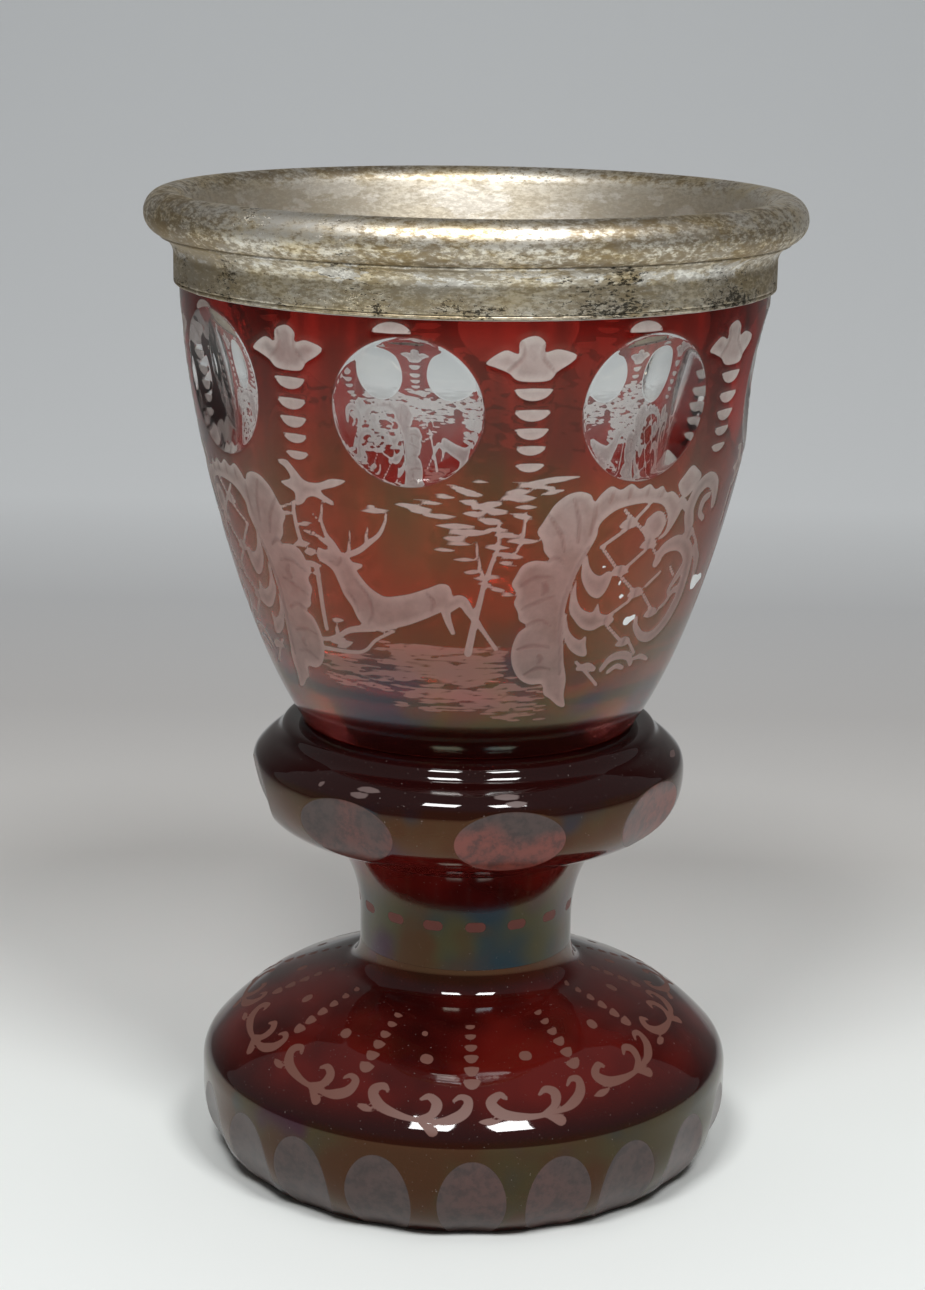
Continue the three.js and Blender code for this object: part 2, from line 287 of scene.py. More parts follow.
# %% Curves and distances on the sheet
def smooth_line(points, closed=False, steps=6):
    """A Catmull-Rom curve through the points: each span starts towards the point after next."""
    p = np.asarray(points, float)
    if closed:
        before, start, stop, after = np.roll(p, 1, 0), p, np.roll(p, -1, 0), np.roll(p, -2, 0)
    else:
        q = np.vstack([2 * p[0] - p[1], p, 2 * p[-1] - p[-2]])
        before, start, stop, after = q[:-3], q[1:-2], q[2:-1], q[3:]
    t = (np.arange(steps) / steps)[None, :, None]
    before, start, stop, after = (q[:, None, :] for q in (before, start, stop, after))
    square = 2 * before - 5 * start + 4 * stop - after
    cube = 3 * start - before - 3 * stop + after
    curve = (start + ((stop - before) * t + square * t**2 + cube * t**3) / 2).reshape(-1, 2)
    return curve if closed else np.vstack([curve, p[-1:]])


def to_segments(spots, start, stop):
    """The distance from each spot to each segment, and the nearest place along it, from 0 to 1."""
    run = stop - start
    away = spots[:, None, :] - start
    along = np.clip((away * run).sum(-1) / np.maximum((run**2).sum(-1), 1e-9), 0, 1)
    return np.linalg.norm(away - along[..., None] * run, axis=-1), along


class Sheet:
    """The flattened wall of one piece, with the signed distance in mm to the nearest figure."""

    MARGIN = 1.2

    def __init__(self, angles, up, reference):
        self.up = up
        self.across = np.broadcast_to(reference * signed(angles), up.shape)
        self.round_length = 2 * math.pi * reference
        self.cut = np.full(up.shape, FAR)
        self.place_at()

    def place_at(self, x=0.0, v=0.0, mirror=False):
        """Where the next figures go: their own zero moves to (x, v), and mirror turns left into right."""
        self.move = np.array([x, v])
        self.turn = np.array([-1.0 if mirror else 1.0, 1.0])

    def lay(self, line, distance, margin):
        """Works out a distance for the spots near a line, and keeps the smaller of old and new."""
        low, high = line.min(0) - margin, line.max(0) + margin
        middle = (low[0] + high[0]) / 2
        x = (self.across - middle + self.round_length / 2) % self.round_length
        x = x - self.round_length / 2 + middle
        near = (x > low[0]) & (x < high[0]) & (self.up > low[1]) & (self.up < high[1])
        if near.any():
            spots = np.stack([x[near], self.up[near]], -1)
            self.cut[near] = np.minimum(self.cut[near], distance(spots))

    def stroke(self, points, *widths):
        """A line whose width in mm runs evenly through the given widths."""
        points = np.asarray(points, float) * self.turn + self.move
        line = smooth_line(points) if len(points) > 2 else np.linspace(points[0], points[1], 7)
        along = lengths(line)
        half = np.interp(along, np.linspace(0, along[-1], len(widths)), widths) / 2

        def distance(spots):
            gap, t = to_segments(spots, line[:-1], line[1:])
            return (gap - half[:-1] - t * np.diff(half)).min(-1)

        self.lay(line, distance, self.MARGIN + max(widths) / 2)

    def patch(self, points, steps=6):
        """A closed outline. A spot is inside if a ray from it crosses the line an odd number of times."""
        line = smooth_line(np.asarray(points, float) * self.turn + self.move, True, steps)
        ends = np.roll(line, -1, 0)
        rise = ends[:, 1] - line[:, 1]
        rise[rise == 0] = 1e-9

        def distance(spots):
            gap = to_segments(spots, line, ends)[0].min(-1)
            x, y = spots[:, 0, None], spots[:, 1, None]
            crosses = (line[:, 1] > y) != (ends[:, 1] > y)
            at = line[:, 0] + (y - line[:, 1]) * (ends[:, 0] - line[:, 0]) / rise
            inside = (crosses & (x < at)).sum(-1) % 2 == 1
            return np.where(inside, -gap, gap)

        self.lay(line, distance, self.MARGIN)

    def half_moon(self, x, v, width, height):
        """A half-moon that hangs from v, or stands on it where the height is below zero."""
        a = np.linspace(0, math.pi, 9)
        self.patch(np.stack([x + width / 2 * np.cos(a), v - height * np.sin(a)], -1), 2)

    def nick(self, start, stop, width):
        """One touch of the wheel: a stroke that swells to its width and ends in points."""
        self.stroke([start, stop], 0.15, 0.75 * width, width, 0.75 * width, 0.15)


# %% [markdown]
# ## The frieze
# A stag leaps between trees, and tall rocaille scrolls with a trellis stand on either side. The same frieze
# is cut again on the far side, where the windows show it. Each figure is a list of places in mm on the sheet.

# %% Palmettes and the half-moons under them
PALMETTE = [
    (-6.7, 2.7), (-4.2, 4.5), (-2.3, 4), (-2.1, 5.8), (0, 6.6), (1.4, 5.6), (1.4, 4.2), (3.3, 4.6),
    (5.9, 3.7), (5.2, 2.6), (3.2, 1.3), (2, 0), (-2, 0), (-3.6, 1.2), (-5.4, 2),
]
HALF_MOONS = [(-1.2, 5.2, 1.8), (-4.4, 5.0, 1.7), (-7.2, 4.6, 1.7), (-9.9, 4.3, 1.4), (-12.6, 4.1, 1.3)]
PALMETTE_UP = 65.5
WINDOW_TOP = 72.1
BOWL_ROUND = 44.0


def upper_band(sheet, veins):
    """A palmette with five half-moons between each two windows, and a half-moon above each window."""
    for i, cut in enumerate(BOWL_CUTS):
        following = BOWL_CUTS[(i + 1) % len(BOWL_CUTS)] + (360 if i == len(BOWL_CUTS) - 1 else 0)
        middle = math.radians((cut + following) / 2) * BOWL_ROUND
        for each in (sheet, veins):
            each.place_at(middle - 0.3, PALMETTE_UP)
        sheet.patch(PALMETTE)
        veins.stroke([(-1.8, 5.5), (-1.6, 3.6), (-3.6, 1.4)], 0.3, 0.2)
        veins.stroke([(1.3, 5.2), (1.2, 3.4), (3, 1.2)], 0.3, 0.2)
        for down, width, height in HALF_MOONS:
            sheet.half_moon(0, down, width, height)
        sheet.place_at(math.radians(cut) * BOWL_ROUND - 1.9, WINDOW_TOP)
        sheet.half_moon(0, 0, 5.4, -1.6)


# %% The stag
STAG_BODY = [
    (-26.3, 37.6), (-25, 37.4), (-23.5, 37.8), (-22, 37.4), (-20.7, 37), (-20, 36), (-18.2, 35.7),
    (-18.6, 35), (-19.4, 34.8), (-19, 33.9), (-17.6, 32.2), (-16, 31.1), (-14.5, 30.6), (-12, 31),
    (-10, 31.5), (-7, 32.6), (-5, 33.4), (-3.5, 33), (-3, 31), (-3.2, 29.4), (-5, 28.6), (-8, 27.2),
    (-11, 26), (-14, 25.1), (-16, 24.4), (-18, 24.9), (-19.8, 25.4), (-20.7, 26.6), (-21.3, 28.2),
    (-22.6, 30.2), (-23.2, 32), (-24, 34), (-25.2, 34.9), (-26.4, 35.4), (-26.8, 36.4),
]
ANTLERS = [
    ([(-22.3, 37), (-23.2, 38.6), (-24.3, 40), (-24.8, 42), (-24.6, 43.5), (-24.2, 45)], (1.1, 0.7, 0.35)),
    ([(-26.5, 43.3), (-25.6, 42.4), (-24.8, 41.9)], (0.2, 0.5)),
    ([(-27.2, 40.3), (-25.5, 39.2), (-23.3, 38.1)], (0.3, 0.8, 1.1)),
    ([(-20.8, 37), (-18.5, 38), (-16.5, 39.5), (-14.7, 41), (-13.6, 43), (-13.3, 44.4)], (1, 0.8, 0.35)),
    ([(-16.9, 39.3), (-16.9, 40.6), (-16.5, 42)], (0.8, 0.2)),
    ([(-20.5, 37.3), (-20.1, 39), (-19.7, 41.3)], (0.7, 0.4, 0.2)),
]
LEGS = [
    ([(-4, 29.6), (-1.6, 30.6), (0, 28.6), (1.6, 26.4), (3.4, 24), (4.8, 22.2)], (2.4, 1.6, 0.8, 0.7)),
    ([(-4.3, 29), (-3.8, 27), (-3, 25)], (1.6, 0.8)),
    ([(-17.5, 25), (-22.5, 24), (-25, 22.8), (-27.5, 21.8), (-30, 21.4)], (1.4, 0.9, 0.7)),
    ([(-13.6, 24.8), (-17.5, 22.8), (-20, 20.7), (-23, 20), (-30, 19.8)], (0.5, 0.6, 0.8)),
]


def stag(sheet, veins):
    """The leaping stag, with a few fine lines for its ribs and its jaw."""
    sheet.patch(STAG_BODY)
    for points, widths in ANTLERS + LEGS:
        sheet.stroke(points, *widths)
    veins.stroke([(-24.4, 35.6), (-23, 35.2), (-22, 36.4)], 0.2, 0.3, 0.15)
    veins.stroke([(-20, 33), (-18, 30.5), (-17.5, 27.5), (-18.6, 25.6)], 0.15, 0.35, 0.15)
    veins.stroke([(-7.5, 31.8), (-6.3, 30.2), (-6.6, 28.6)], 0.15, 0.35, 0.15)
    veins.stroke([(-22, 30.8), (-20.7, 29.3), (-20.3, 27.4)], 0.15, 0.3, 0.15)


# %% The palm, the tree and the bushes
PALM_CROWN = [
    (-32.2, 50.9), (-30.2, 51.3), (-28.7, 50), (-27, 48.4), (-24.5, 48.3), (-22, 49.2), (-19.5, 49.1),
    (-21.5, 48), (-24.2, 47), (-22, 45.5), (-22.6, 45), (-25.4, 46), (-27, 45.6), (-28, 44.6),
    (-29.6, 44.2), (-29.4, 46.2), (-32, 47.5), (-29.8, 48.4), (-30.6, 50),
]
PALM_TRUNKS = [
    ([(-30.1, 44.6), (-30.2, 41), (-29.8, 38)], (0.6, 0.8, 0.9)),
    ([(-27.3, 34), (-27.5, 30.5), (-27.8, 27), (-28, 23.5)], (1, 0.9, 0.9)),
]
TREE_TRUNKS = [
    ([(2.3, 34.4), (1.7, 31), (1, 28), (0.2, 24), (-0.3, 21.5)], (0.7, 1.1, 1.4)),
    ([(4.2, 43), (4.3, 40), (3.5, 37.5), (2.6, 34.4)], (0.5, 0.6, 0.8)),
    ([(8.2, 45), (8, 41), (7, 38.5)], (0.4, 0.6, 0.4)),
    ([(0.7, 40.5), (1.3, 37), (1.9, 34.6)], (0.4, 0.6)),
]
TREE_TOUCHES = [
    (-4, 49.5, -1, 49, 0.7), (-3, 49, 2, 47.8, 1.1), (-2, 47, 1.4, 46.7, 1), (0, 46, 5, 46.9, 1.2),
    (4, 47.8, 10, 47.4, 1.3), (6, 50, 12.5, 49, 1), (8.5, 50, 16.3, 50.6, 1), (-12.2, 46.3, -5.5, 45.3, 1),
    (-7.3, 44.6, -2, 44.4, 0.9), (-5.5, 43, 0.5, 43, 1), (1.5, 45.5, 6, 45.3, 1.1), (5.7, 45, 9.8, 44.2, 1),
    (1, 44, 5, 43.7, 1.2), (-3.5, 42, 3, 42, 1.2), (-5, 41.3, -1, 41, 0.7), (-6.5, 39.3, -2.5, 39, 0.7),
    (5, 40.8, 11, 40.4, 1), (3, 38.8, 9, 37.7, 1), (-1.5, 35.3, 2, 35.8, 0.8), (0.5, 34.6, 5.5, 34.8, 0.8),
    (0.5, 33.8, 3.5, 33.6, 0.6), (2.5, 33, 6, 32.3, 0.8), (4.5, 31.8, 7.8, 31.7, 0.7),
    (5, 48.7, 9, 48.7, 0.8), (-17.7, 44.7, -12.3, 44.9, 0.9), (-16.6, 45.3, -15, 45.5, 0.6),
    (2, 42.7, 6.5, 42.2, 0.8), (-8.8, 47, -4.2, 46.4, 0.7), (-6, 47.9, -2.5, 47.6, 0.8),
    (-0.5, 50.3, 2.6, 50.2, 0.6), (10.4, 48.1, 14, 48.6, 0.8), (-9.5, 45.2, -6, 44.9, 0.6),
    (-1.5, 45.2, 2.4, 44.8, 1), (6.4, 46.2, 10, 46, 0.8), (3.6, 41.6, 8, 41.4, 0.8),
    (-4.5, 40.3, 0.4, 40.2, 0.8), (1.6, 39.8, 6, 39.6, 0.9), (4, 37.4, 7.4, 36.6, 0.8),
    (-2.8, 37.6, 0.8, 37.6, 0.7), (-33.5, 42.3, -30.2, 42.8, 0.7), (-33, 43.4, -30.5, 44.2, 0.5),
    (-29.8, 41, -26.8, 41.5, 0.8), (-29, 40.2, -26.6, 39.6, 0.7), (-31.5, 37.6, -27.8, 38, 1.2),
    (-29.5, 36.4, -26.8, 36.9, 1.4), (-30.4, 34.6, -26.3, 34.6, 1.2), (-28.8, 33.3, -26.6, 32.8, 0.8),
    (-26.6, 25.2, -23.6, 25.6, 0.9), (-27.6, 21.2, -24, 22.2, 1.5), (-26.4, 20.6, -22.6, 21.8, 1.4),
    (-25.8, 22.4, -25.4, 24.6, 0.9),
]


def palm(sheet):
    """The palm's crown over its two lengths of trunk."""
    sheet.patch(PALM_CROWN)
    for points, widths in PALM_TRUNKS:
        sheet.stroke(points, *widths)


def trees(sheet):
    """The palm on the left and the tree in the middle: trunks, and one touch of the wheel for each spray."""
    palm(sheet)
    for x0, v0, x1, v1, width in TREE_TOUCHES:
        sheet.nick((x0, v0), (x1, v1), 0.95 * width)
    for points, widths in TREE_TRUNKS:
        sheet.stroke(points, *widths)


# %% The ground under the stag
GROUND = [
    (-17, 6, 16.5, 22.6, 170), (-15, 9, 10.5, 17, 110), (-31, -16, 13.5, 19.5, 60), (3, 16, 8.5, 15, 46),
]
GROUND_WIDTH = 0.32


def ground(sheet, patches, width):
    """Level touches of the wheel, laid at random over patches of ground, longer and denser in their middle.

    A patch is its left, right, lowest and highest place and the number of touches.
    """
    for seed, (left, right, low, high, count) in enumerate(patches):
        random = np.random.default_rng(seed)
        for _ in range(count):
            x = left + (right - left) * random.random()
            v = low + (high - low) * random.random()
            inner = 1 - abs(2 * (x - left) / (right - left) - 1)
            length = 3 + 5.5 * inner * random.random()
            slope = 0.04 * random.standard_normal()
            thick = width * (1 + 0.6 * random.random())
            sheet.nick((x - length / 2, v), (x + length / 2, v + slope * length), thick)


# %% The shell of the large scroll
SHELL = [
    (20.4, 40.6), (20.6, 42.5), (22, 44), (24, 45), (27, 45.4), (30, 45.3), (32.6, 44.6), (34.4, 42.6),
    (34.6, 40.2), (33, 38.8), (34.8, 39.2), (36.4, 41), (37.6, 43.6), (36.4, 45.2), (34.4, 46.6),
    (33, 46.6), (31.8, 47.8), (30.4, 47.4), (29, 48.4), (27.2, 47.8), (25.4, 48.8), (23.6, 48),
    (21.8, 48.7), (20.2, 47.6), (19.2, 46.4), (18.4, 47.6), (16.6, 48.2), (14.6, 47.8), (12.8, 46.4),
    (11.9, 45), (11, 43.4), (10.3, 42), (11.3, 40.4), (11.7, 38.8), (12.8, 37.2), (10.2, 37.3),
    (8.4, 36.6), (7.4, 34.9), (6.8, 33.3), (7.8, 31.8), (7.4, 30.2), (8.2, 28.6), (8.6, 27.2),
    (10, 26.2), (8.6, 25), (7.8, 22.8), (7.7, 20.8), (8.3, 18.6), (9.8, 16.6), (12, 15.5),
    (14.6, 15.3), (15.4, 13.4), (17, 12.4), (19.4, 10.8), (21, 10.6), (20, 13), (19.6, 16),
    (18.4, 19), (17.6, 22), (16.8, 26), (16.8, 30), (17.6, 34), (19, 37.6),
]
SHELL_LEAVES = [
    [
        (19, 38.2), (19.9, 36), (21, 34.6), (22.4, 34), (23.6, 34.6), (24.7, 34.2), (24.5, 32.4),
        (23.6, 30.6), (22.3, 30.2), (20.4, 31.4), (18.7, 34.4),
    ],
    [
        (17.8, 34), (18.4, 31), (19.5, 29), (21, 28), (22.4, 27.9), (22.9, 29.4), (23.9, 27.5),
        (25.5, 26.8), (27, 25.5), (25, 25.2), (23, 24.5), (20.8, 25), (18.9, 26.6), (17.4, 29),
    ],
    [
        (17, 28), (18, 25.2), (19.5, 23.6), (21, 23), (21.9, 23.7), (22.3, 22), (23, 20), (21, 20.2),
        (18.5, 22), (17, 25),
    ],
    [
        (35.4, 47.6), (36.4, 48.9), (38, 50.3), (39.6, 49.6), (41.2, 48.2), (40, 46.6), (38.2, 45.2),
        (36.6, 45.8),
    ],
]
VEIN = (0.15, 0.4, 0.15)
SHELL_VEINS = [
    ([(19.4, 39), (17.6, 35), (16.3, 30), (16.3, 26), (17, 22), (18, 17)], (0.2, 0.45, 0.45, 0.2)),
    ([(12, 44.6), (14.2, 41.5), (15.2, 38.6)], VEIN),
    ([(15.8, 47), (17, 43.6), (17.4, 40)], VEIN),
    ([(19.6, 46), (19.6, 43.6), (19.2, 41)], VEIN),
    ([(12.6, 37.2), (14, 37.6), (15.4, 36.6)], (0.4, 0.3, 0.15)),
    ([(8.2, 33), (11, 34.6), (14, 34.2)], VEIN),
    ([(8.8, 29), (11.4, 30.2), (14.4, 31.2)], VEIN),
    ([(10, 26.2), (12.2, 27), (14.4, 26)], (0.45, 0.3, 0.15)),
    ([(8.8, 22), (11.4, 22.6), (14.8, 22)], VEIN),
    ([(10.6, 17.2), (13, 18.4), (15.6, 18)], VEIN),
    ([(22, 46.2), (22.4, 47.8)], (0.3, 0.2)),
    ([(25.4, 46.6), (25.6, 48)], (0.3, 0.2)),
    ([(28.8, 46.6), (29, 47.8)], (0.3, 0.2)),
    ([(32, 46.2), (32.4, 47.2)], (0.3, 0.2)),
    ([(12.2, 33.4), (12.8, 32.4), (12.2, 31.6)], (0.5, 0.9, 0.5)),
    ([(13, 20.6), (13.5, 20), (13.2, 19.4)], (0.4, 0.7, 0.4)),
]


def shell(sheet, veins):
    """The broad scalloped shell with its arch, its leaves and the veins that run down them."""
    for outline in [SHELL] + SHELL_LEAVES:
        sheet.patch(outline, 5)
    sheet.stroke([(31.9, 41.6), (32, 41.5), (32.1, 41.4)], 4.2, 4.2)
    sheet.stroke([(33.4, 40), (31.6, 39.4), (30, 40.6), (30.2, 42.4)], 0.8, 1.2, 1)
    for points, widths in SHELL_VEINS:
        veins.stroke(points, *widths)


# %% The open scroll and its trellis
SCROLLS = [
    ([(34.2, 34.8), (35.2, 36.8), (38, 37.6), (41, 36.8), (43.6, 34.4), (44.6, 31)], (1.6, 2.6, 2.8, 3)),
    (
        [(44.6, 31), (44.6, 27), (42.6, 23.4), (39.4, 21.4), (36, 21.8), (33.4, 23.8), (32.8, 25.4)],
        (3, 2.8, 1.8, 1),
    ),
    ([(43, 33), (41.4, 31), (40.2, 29.4), (40.6, 28.4)], (2, 1.4, 0.6)),
    ([(43.6, 29), (41.6, 28.8), (40.2, 27), (38.6, 26.2)], (1.4, 1, 0.6)),
    ([(41, 40.2), (40, 42.8), (41, 45.8), (43.8, 47.2), (46.8, 45.8), (48, 42.6)], (2.4, 2.6, 2.6, 2.4, 1.6)),
    ([(45.2, 40.6), (43.6, 41.8), (43.8, 43.8), (45.4, 44.4)], (1, 1.2, 1.6, 1.2)),
    ([(37, 44.6), (38.6, 43.6), (39.8, 42.6)], (1.6, 1.4, 1.2)),
    ([(27.6, 17), (29, 18.6), (31.4, 19), (34, 18.4), (35.6, 16.8)], (1.2, 1.5, 1.6, 1.5, 1)),
    ([(29.6, 16.2), (31.4, 17), (33.4, 16.4)], (0.9, 1, 0.8)),
    ([(21.8, 17.8), (24, 17.8), (25.6, 17.2)], (1, 1.6, 1)),
    ([(35, 17.6), (38, 17.8), (41, 16.8)], (0.6, 1, 0.6)),
    ([(45, 36), (47.6, 33), (49, 29)], (1.4, 1.8, 1)),
]
TRELLIS = [
    (21.5, 38.8, 26, 41.5), (29.7, 45, 27, 42.5), (25, 44.5, 30.5, 39.8), (22, 38.5, 25.3, 35),
    (27.5, 35, 31, 37.5), (32.5, 37.5, 35, 35), (26.5, 33.5, 30, 30.8), (33, 29.5, 36.5, 26.4),
    (24.5, 26, 30, 29), (26, 25, 30, 22), (33, 31, 36, 33), (21, 19, 27.5, 14), (33, 21, 35.5, 18.8),
    (38.5, 33.5, 40.2, 31.8), (43, 38.6, 46, 35.8),
]
TRELLIS_WIDTH = 0.62
BLOSSOMS = [
    (26.3, 42.4), (31.3, 38.5), (26.2, 34.6), (31, 30.3), (25.5, 26.2), (31.3, 21.6), (41.6, 38.9),
    (36.6, 26),
]


def trellis(sheet, veins):
    """C-shaped scrolls, the thin crossing lines between them, and a small blossom where the lines cross."""
    for points, widths in SCROLLS:
        sheet.stroke(points, *widths)
    for x0, v0, x1, v1 in TRELLIS:
        sheet.stroke([(x0, v0), (x1, v1)], TRELLIS_WIDTH, TRELLIS_WIDTH)
    for x, v in BLOSSOMS:
        sheet.half_moon(x, v - 0.6, 3.6, -1.4)
        sheet.nick((x - 1.9, v - 0.6), (x + 1.9, v - 0.5), 0.9)
        veins.stroke([(x - 0.1, v - 0.9), (x + 0.1, v + 0.5)], 0.25, 0.25)


# %% [markdown]
# The front shows one scroll on the right and its mirror image on the left. The far side repeats all of it,
# with bushes added above, and a palm fills the gap at each side. A few flakes have gone from the skin.

# %% Lay out the frieze
HALF_ROUND = math.pi * BOWL_ROUND
MIRRORED_AT = -22
SIDE_PALM_AT = 86
FAR_BUSHES = [(-44, -14, 32, 58, 230), (-18, 20, 40, 55, 120), (14, 44, 30, 52, 150)]
BUSH_WIDTH = 0.9
CHIPS = [
    (26.6, 32.3, 0.9, 1.0), (27.6, 30, 1.1, 0.7), (31, 25.5, 2.6, 1.8), (22.8, 35.4, 0.9, 0.6),
    (51, 29, 5.2, 3.2),
]


def chipped(sheet):
    """Five small flakes gone from the skin, each an uneven patch of eight corners round its middle."""
    random = np.random.default_rng(4)
    turn = np.linspace(0, 2 * math.pi, 9)[:-1]
    for x, v, width, height in CHIPS:
        reach = 0.5 * (0.4 + 0.9 * random.random(8))
        sheet.patch(np.stack([x + width * reach * np.cos(turn), v + height * reach * np.sin(turn)], -1), 2)


def frieze(sheet, veins, faint):
    """The whole picture at the front and again at the back, with a palm at each side where the two meet."""
    upper_band(sheet, veins)
    for start in (0, HALF_ROUND):
        for each in (sheet, veins, faint):
            each.place_at(start)
        stag(sheet, veins)
        trees(sheet)
        ground(faint, GROUND, GROUND_WIDTH)
        shell(sheet, veins)
        trellis(sheet, veins)
        for each in (sheet, veins):
            each.place_at(start + MIRRORED_AT, mirror=True)
        shell(sheet, veins)
        trellis(sheet, veins)
        sheet.place_at(start + SIDE_PALM_AT)
        palm(sheet)
    sheet.place_at(HALF_ROUND)
    ground(sheet, FAR_BUSHES, BUSH_WIDTH)


# %% [markdown]
# ## The bowl
# The bowl is one closed surface: up the outer wall, over the lip, down the inside and across its floor.
# Its rows lie closer over the ground under the stag, whose strokes are the finest. The wall is thickest
# where the windows are cut, because a deep cut needs glass behind it.

# %% The bowl's profile
WALL_STEP = 0.5
GROUND_STEP = 0.3
GROUND_LOW = 7
GROUND_HIGH = 23
INSIDE_STEP = 3.0
WALL_THICK = 3.3
WINDOW_THICKER = 0.9
FLOOR_Z = 84.4
INSIDE_LOW = 92
INSIDE_STRAIGHT = 142
outer = chain(
    stretch(bowl_wall, 0, GROUND_LOW, WALL_STEP),
    stretch(bowl_wall, GROUND_LOW, GROUND_HIGH, GROUND_STEP),
    stretch(bowl_wall, GROUND_HIGH, wall_top, WALL_STEP),
)
thickness = WALL_THICK + WINDOW_THICKER * np.exp(-(((outer[:, 1] - 122) / 16) ** 2))
inside_line = outer - outward(outer) * thickness[:, None]
inside_line = inside_line[inside_line[:, 1] > INSIDE_LOW]
inside_line[inside_line[:, 1] > INSIDE_STRAIGHT, 0] = MOUTH_IN
floor_line = bezier([(0, FLOOR_Z), (24, FLOOR_Z), inside_line[0]], 14)
inside = chain(floor_line[:-1], evenly(inside_line, INSIDE_STEP), [(MOUTH_IN, LIP_Z)])[::-1]
lip_top = LIP_Z + 0.02
lip = bezier([(MOUTH_R, LIP_Z), (MOUTH_R - 0.5, lip_top), (MOUTH_IN + 0.5, lip_top), (MOUTH_IN, LIP_Z)], 5)
under = bezier([(0, BOWL_Z + HAIR), (BOWL_R, BOWL_Z + HAIR)], 5)
bowl_profile = chain(under[:-1], outer, lip[1:-1], inside)
first_outer = len(under) - 1
outer_rows = np.zeros(len(bowl_profile), bool)
outer_rows[first_outer : first_outer + len(outer)] = True
print("rows up the bowl:", len(bowl_profile), "of which on the outer wall:", len(outer))

# %% Cut and engrave the bowl
BOWL_LENS = dict(reference=45.6, middle=131.2, half_width=11.4, half_height=11.1, rises=(1.2, 0, 0.2, 0.6))
WINDOW_DEPTH = 2.4
ENGRAVED_DEPTH = 0.12
bowl_angles = column_angles(0.6, 1.25)
bowl_level = np.full((len(bowl_profile), len(bowl_angles)), FAR)
bowl_level[outer_rows] = lens_field(bowl_angles, outer[:, 1], cuts=BOWL_CUTS, **BOWL_LENS)
up_wall = np.full(bowl_level.shape, -FAR)
up_wall[outer_rows] = lengths(outer)[:, None]
bowl_sheets = {mark: Sheet(bowl_angles, up_wall, BOWL_ROUND) for mark in ("figure", "vein", "faint", "chip")}
frieze(bowl_sheets["figure"], bowl_sheets["vein"], bowl_sheets["faint"])
chipped(bowl_sheets["chip"])
figure_cut = bowl_sheets["figure"].cut
bowl_shift = hollow(bowl_level, WINDOW_DEPTH) - ENGRAVED_DEPTH * np.clip(0.5 - figure_cut, 0, 1)
bowl_marks = {"window": bowl_level, "inner": np.where(outer_rows[:, None], 0.0, 1.0) + 0 * bowl_level}
bowl_marks.update({mark: sheet.cut for mark, sheet in bowl_sheets.items()})
bowl_piece = turned_piece("bowl", bowl_profile, bowl_angles, shift=bowl_shift, marks=bowl_marks)
print("share of the wall that is engraved:", round((figure_cut[outer_rows] < 0).mean(), 3))

# %% [markdown]
# ## Collar, stem and foot
# These are solid glass, so each is a body closed by flat ends where it meets its neighbours.

# %% Figures on the foot, the stem and the collar
SCROLL_PAIR = [
    ([(-5.4, 5.6), (-6.4, 6.3), (-7.9, 5), (-6.2, 3), (-2.5, 2), (1, 1.7)], (0.7, 1.6, 1.9, 1.5, 1, 0.7)),
    ([(0.3, 1.8), (1.4, 1), (2.6, 0.2)], (0.6, 1, 1.7)),
    ([(0.2, 2), (2.3, 2.9), (2.9, 4.8), (1.5, 5.9), (0.2, 5.2)], (0.6, 1.2, 1.8, 1.3, 0.5)),
    ([(1, 1.8), (4.4, 2), (7.1, 3.4), (7.9, 5.5), (6.6, 6.2), (5.5, 5.4)], (0.6, 1, 1.8, 1.8, 1.2, 0.5)),
]
FOOT_COLUMN = [
    (28.9, 2.9, 1.7), (31.3, 2.7, 1.7), (33.8, 2.7, 1.6), (36.2, 2.6, 1.3), (38.7, 2.6, 1.0), (41, 2.6, 0.8),
]
FOOT_ROUND = 40.0
FOOT_REPEATS = 13
STEM_DASHES = 16
COLLAR_OVALS = [(6.3, 25.5, 5), (7.7, 24.2, 4), (-16.4, 25.4, 4.6), (-17.8, 24.2, 3.6), (48, 25.2, 4.6)]


def foot_figures(sheet):
    """Thirteen pairs of scrolls, with a column of drops between each two and a dot over each pair."""
    for k in range(FOOT_REPEATS):
        x = k * 2 * math.pi * FOOT_ROUND / FOOT_REPEATS
        sheet.place_at(x - 7, 20.6)
        for points, widths in SCROLL_PAIR:
            sheet.stroke(points, *widths)
        sheet.place_at(x + 1.5, 0)
        for up, width, height in FOOT_COLUMN:
            sheet.half_moon(0, up + height / 2, width, height)
            sheet.nick((-width / 2, up + height / 2), (width / 2, up + height / 2), 0.5)
        sheet.nick((0.9, 22.6), (4.1, 22.4), 1.2)
        sheet.stroke([(-8.9, 33.4), (-8.3, 33.3)], 2, 2)
    sheet.place_at()
    sheet.stroke([(-9.2, 38.8), (-8.8, 38.7)], 1.1, 1.1)


def stem_figures(sheet):
    """Rounded dashes round the neck."""
    for k in range(STEM_DASHES):
        x = 1.6 + k * sheet.round_length / STEM_DASHES
        sheet.stroke([(x - 0.8, 7.5), (x + 0.8, 7.5)], 1.7, 1.7)


def collar_figures(sheet):
    """Two pairs of small pointed ovals above lens cuts at the front, one more at the side, and a stroke."""
    for x, up, width in COLLAR_OVALS:
        sheet.nick((x - width / 2, up), (x + width / 2, up), 1.1)
    sheet.stroke([(-25.6, 24.6), (-25.2, 25)], 0.9, 0.5)


# %% Make the collar, the stem and the foot
CORNER_INSET = 0.08
CORNER_SHARE = 0.03
solid_angles = column_angles(0.7, 1.5)


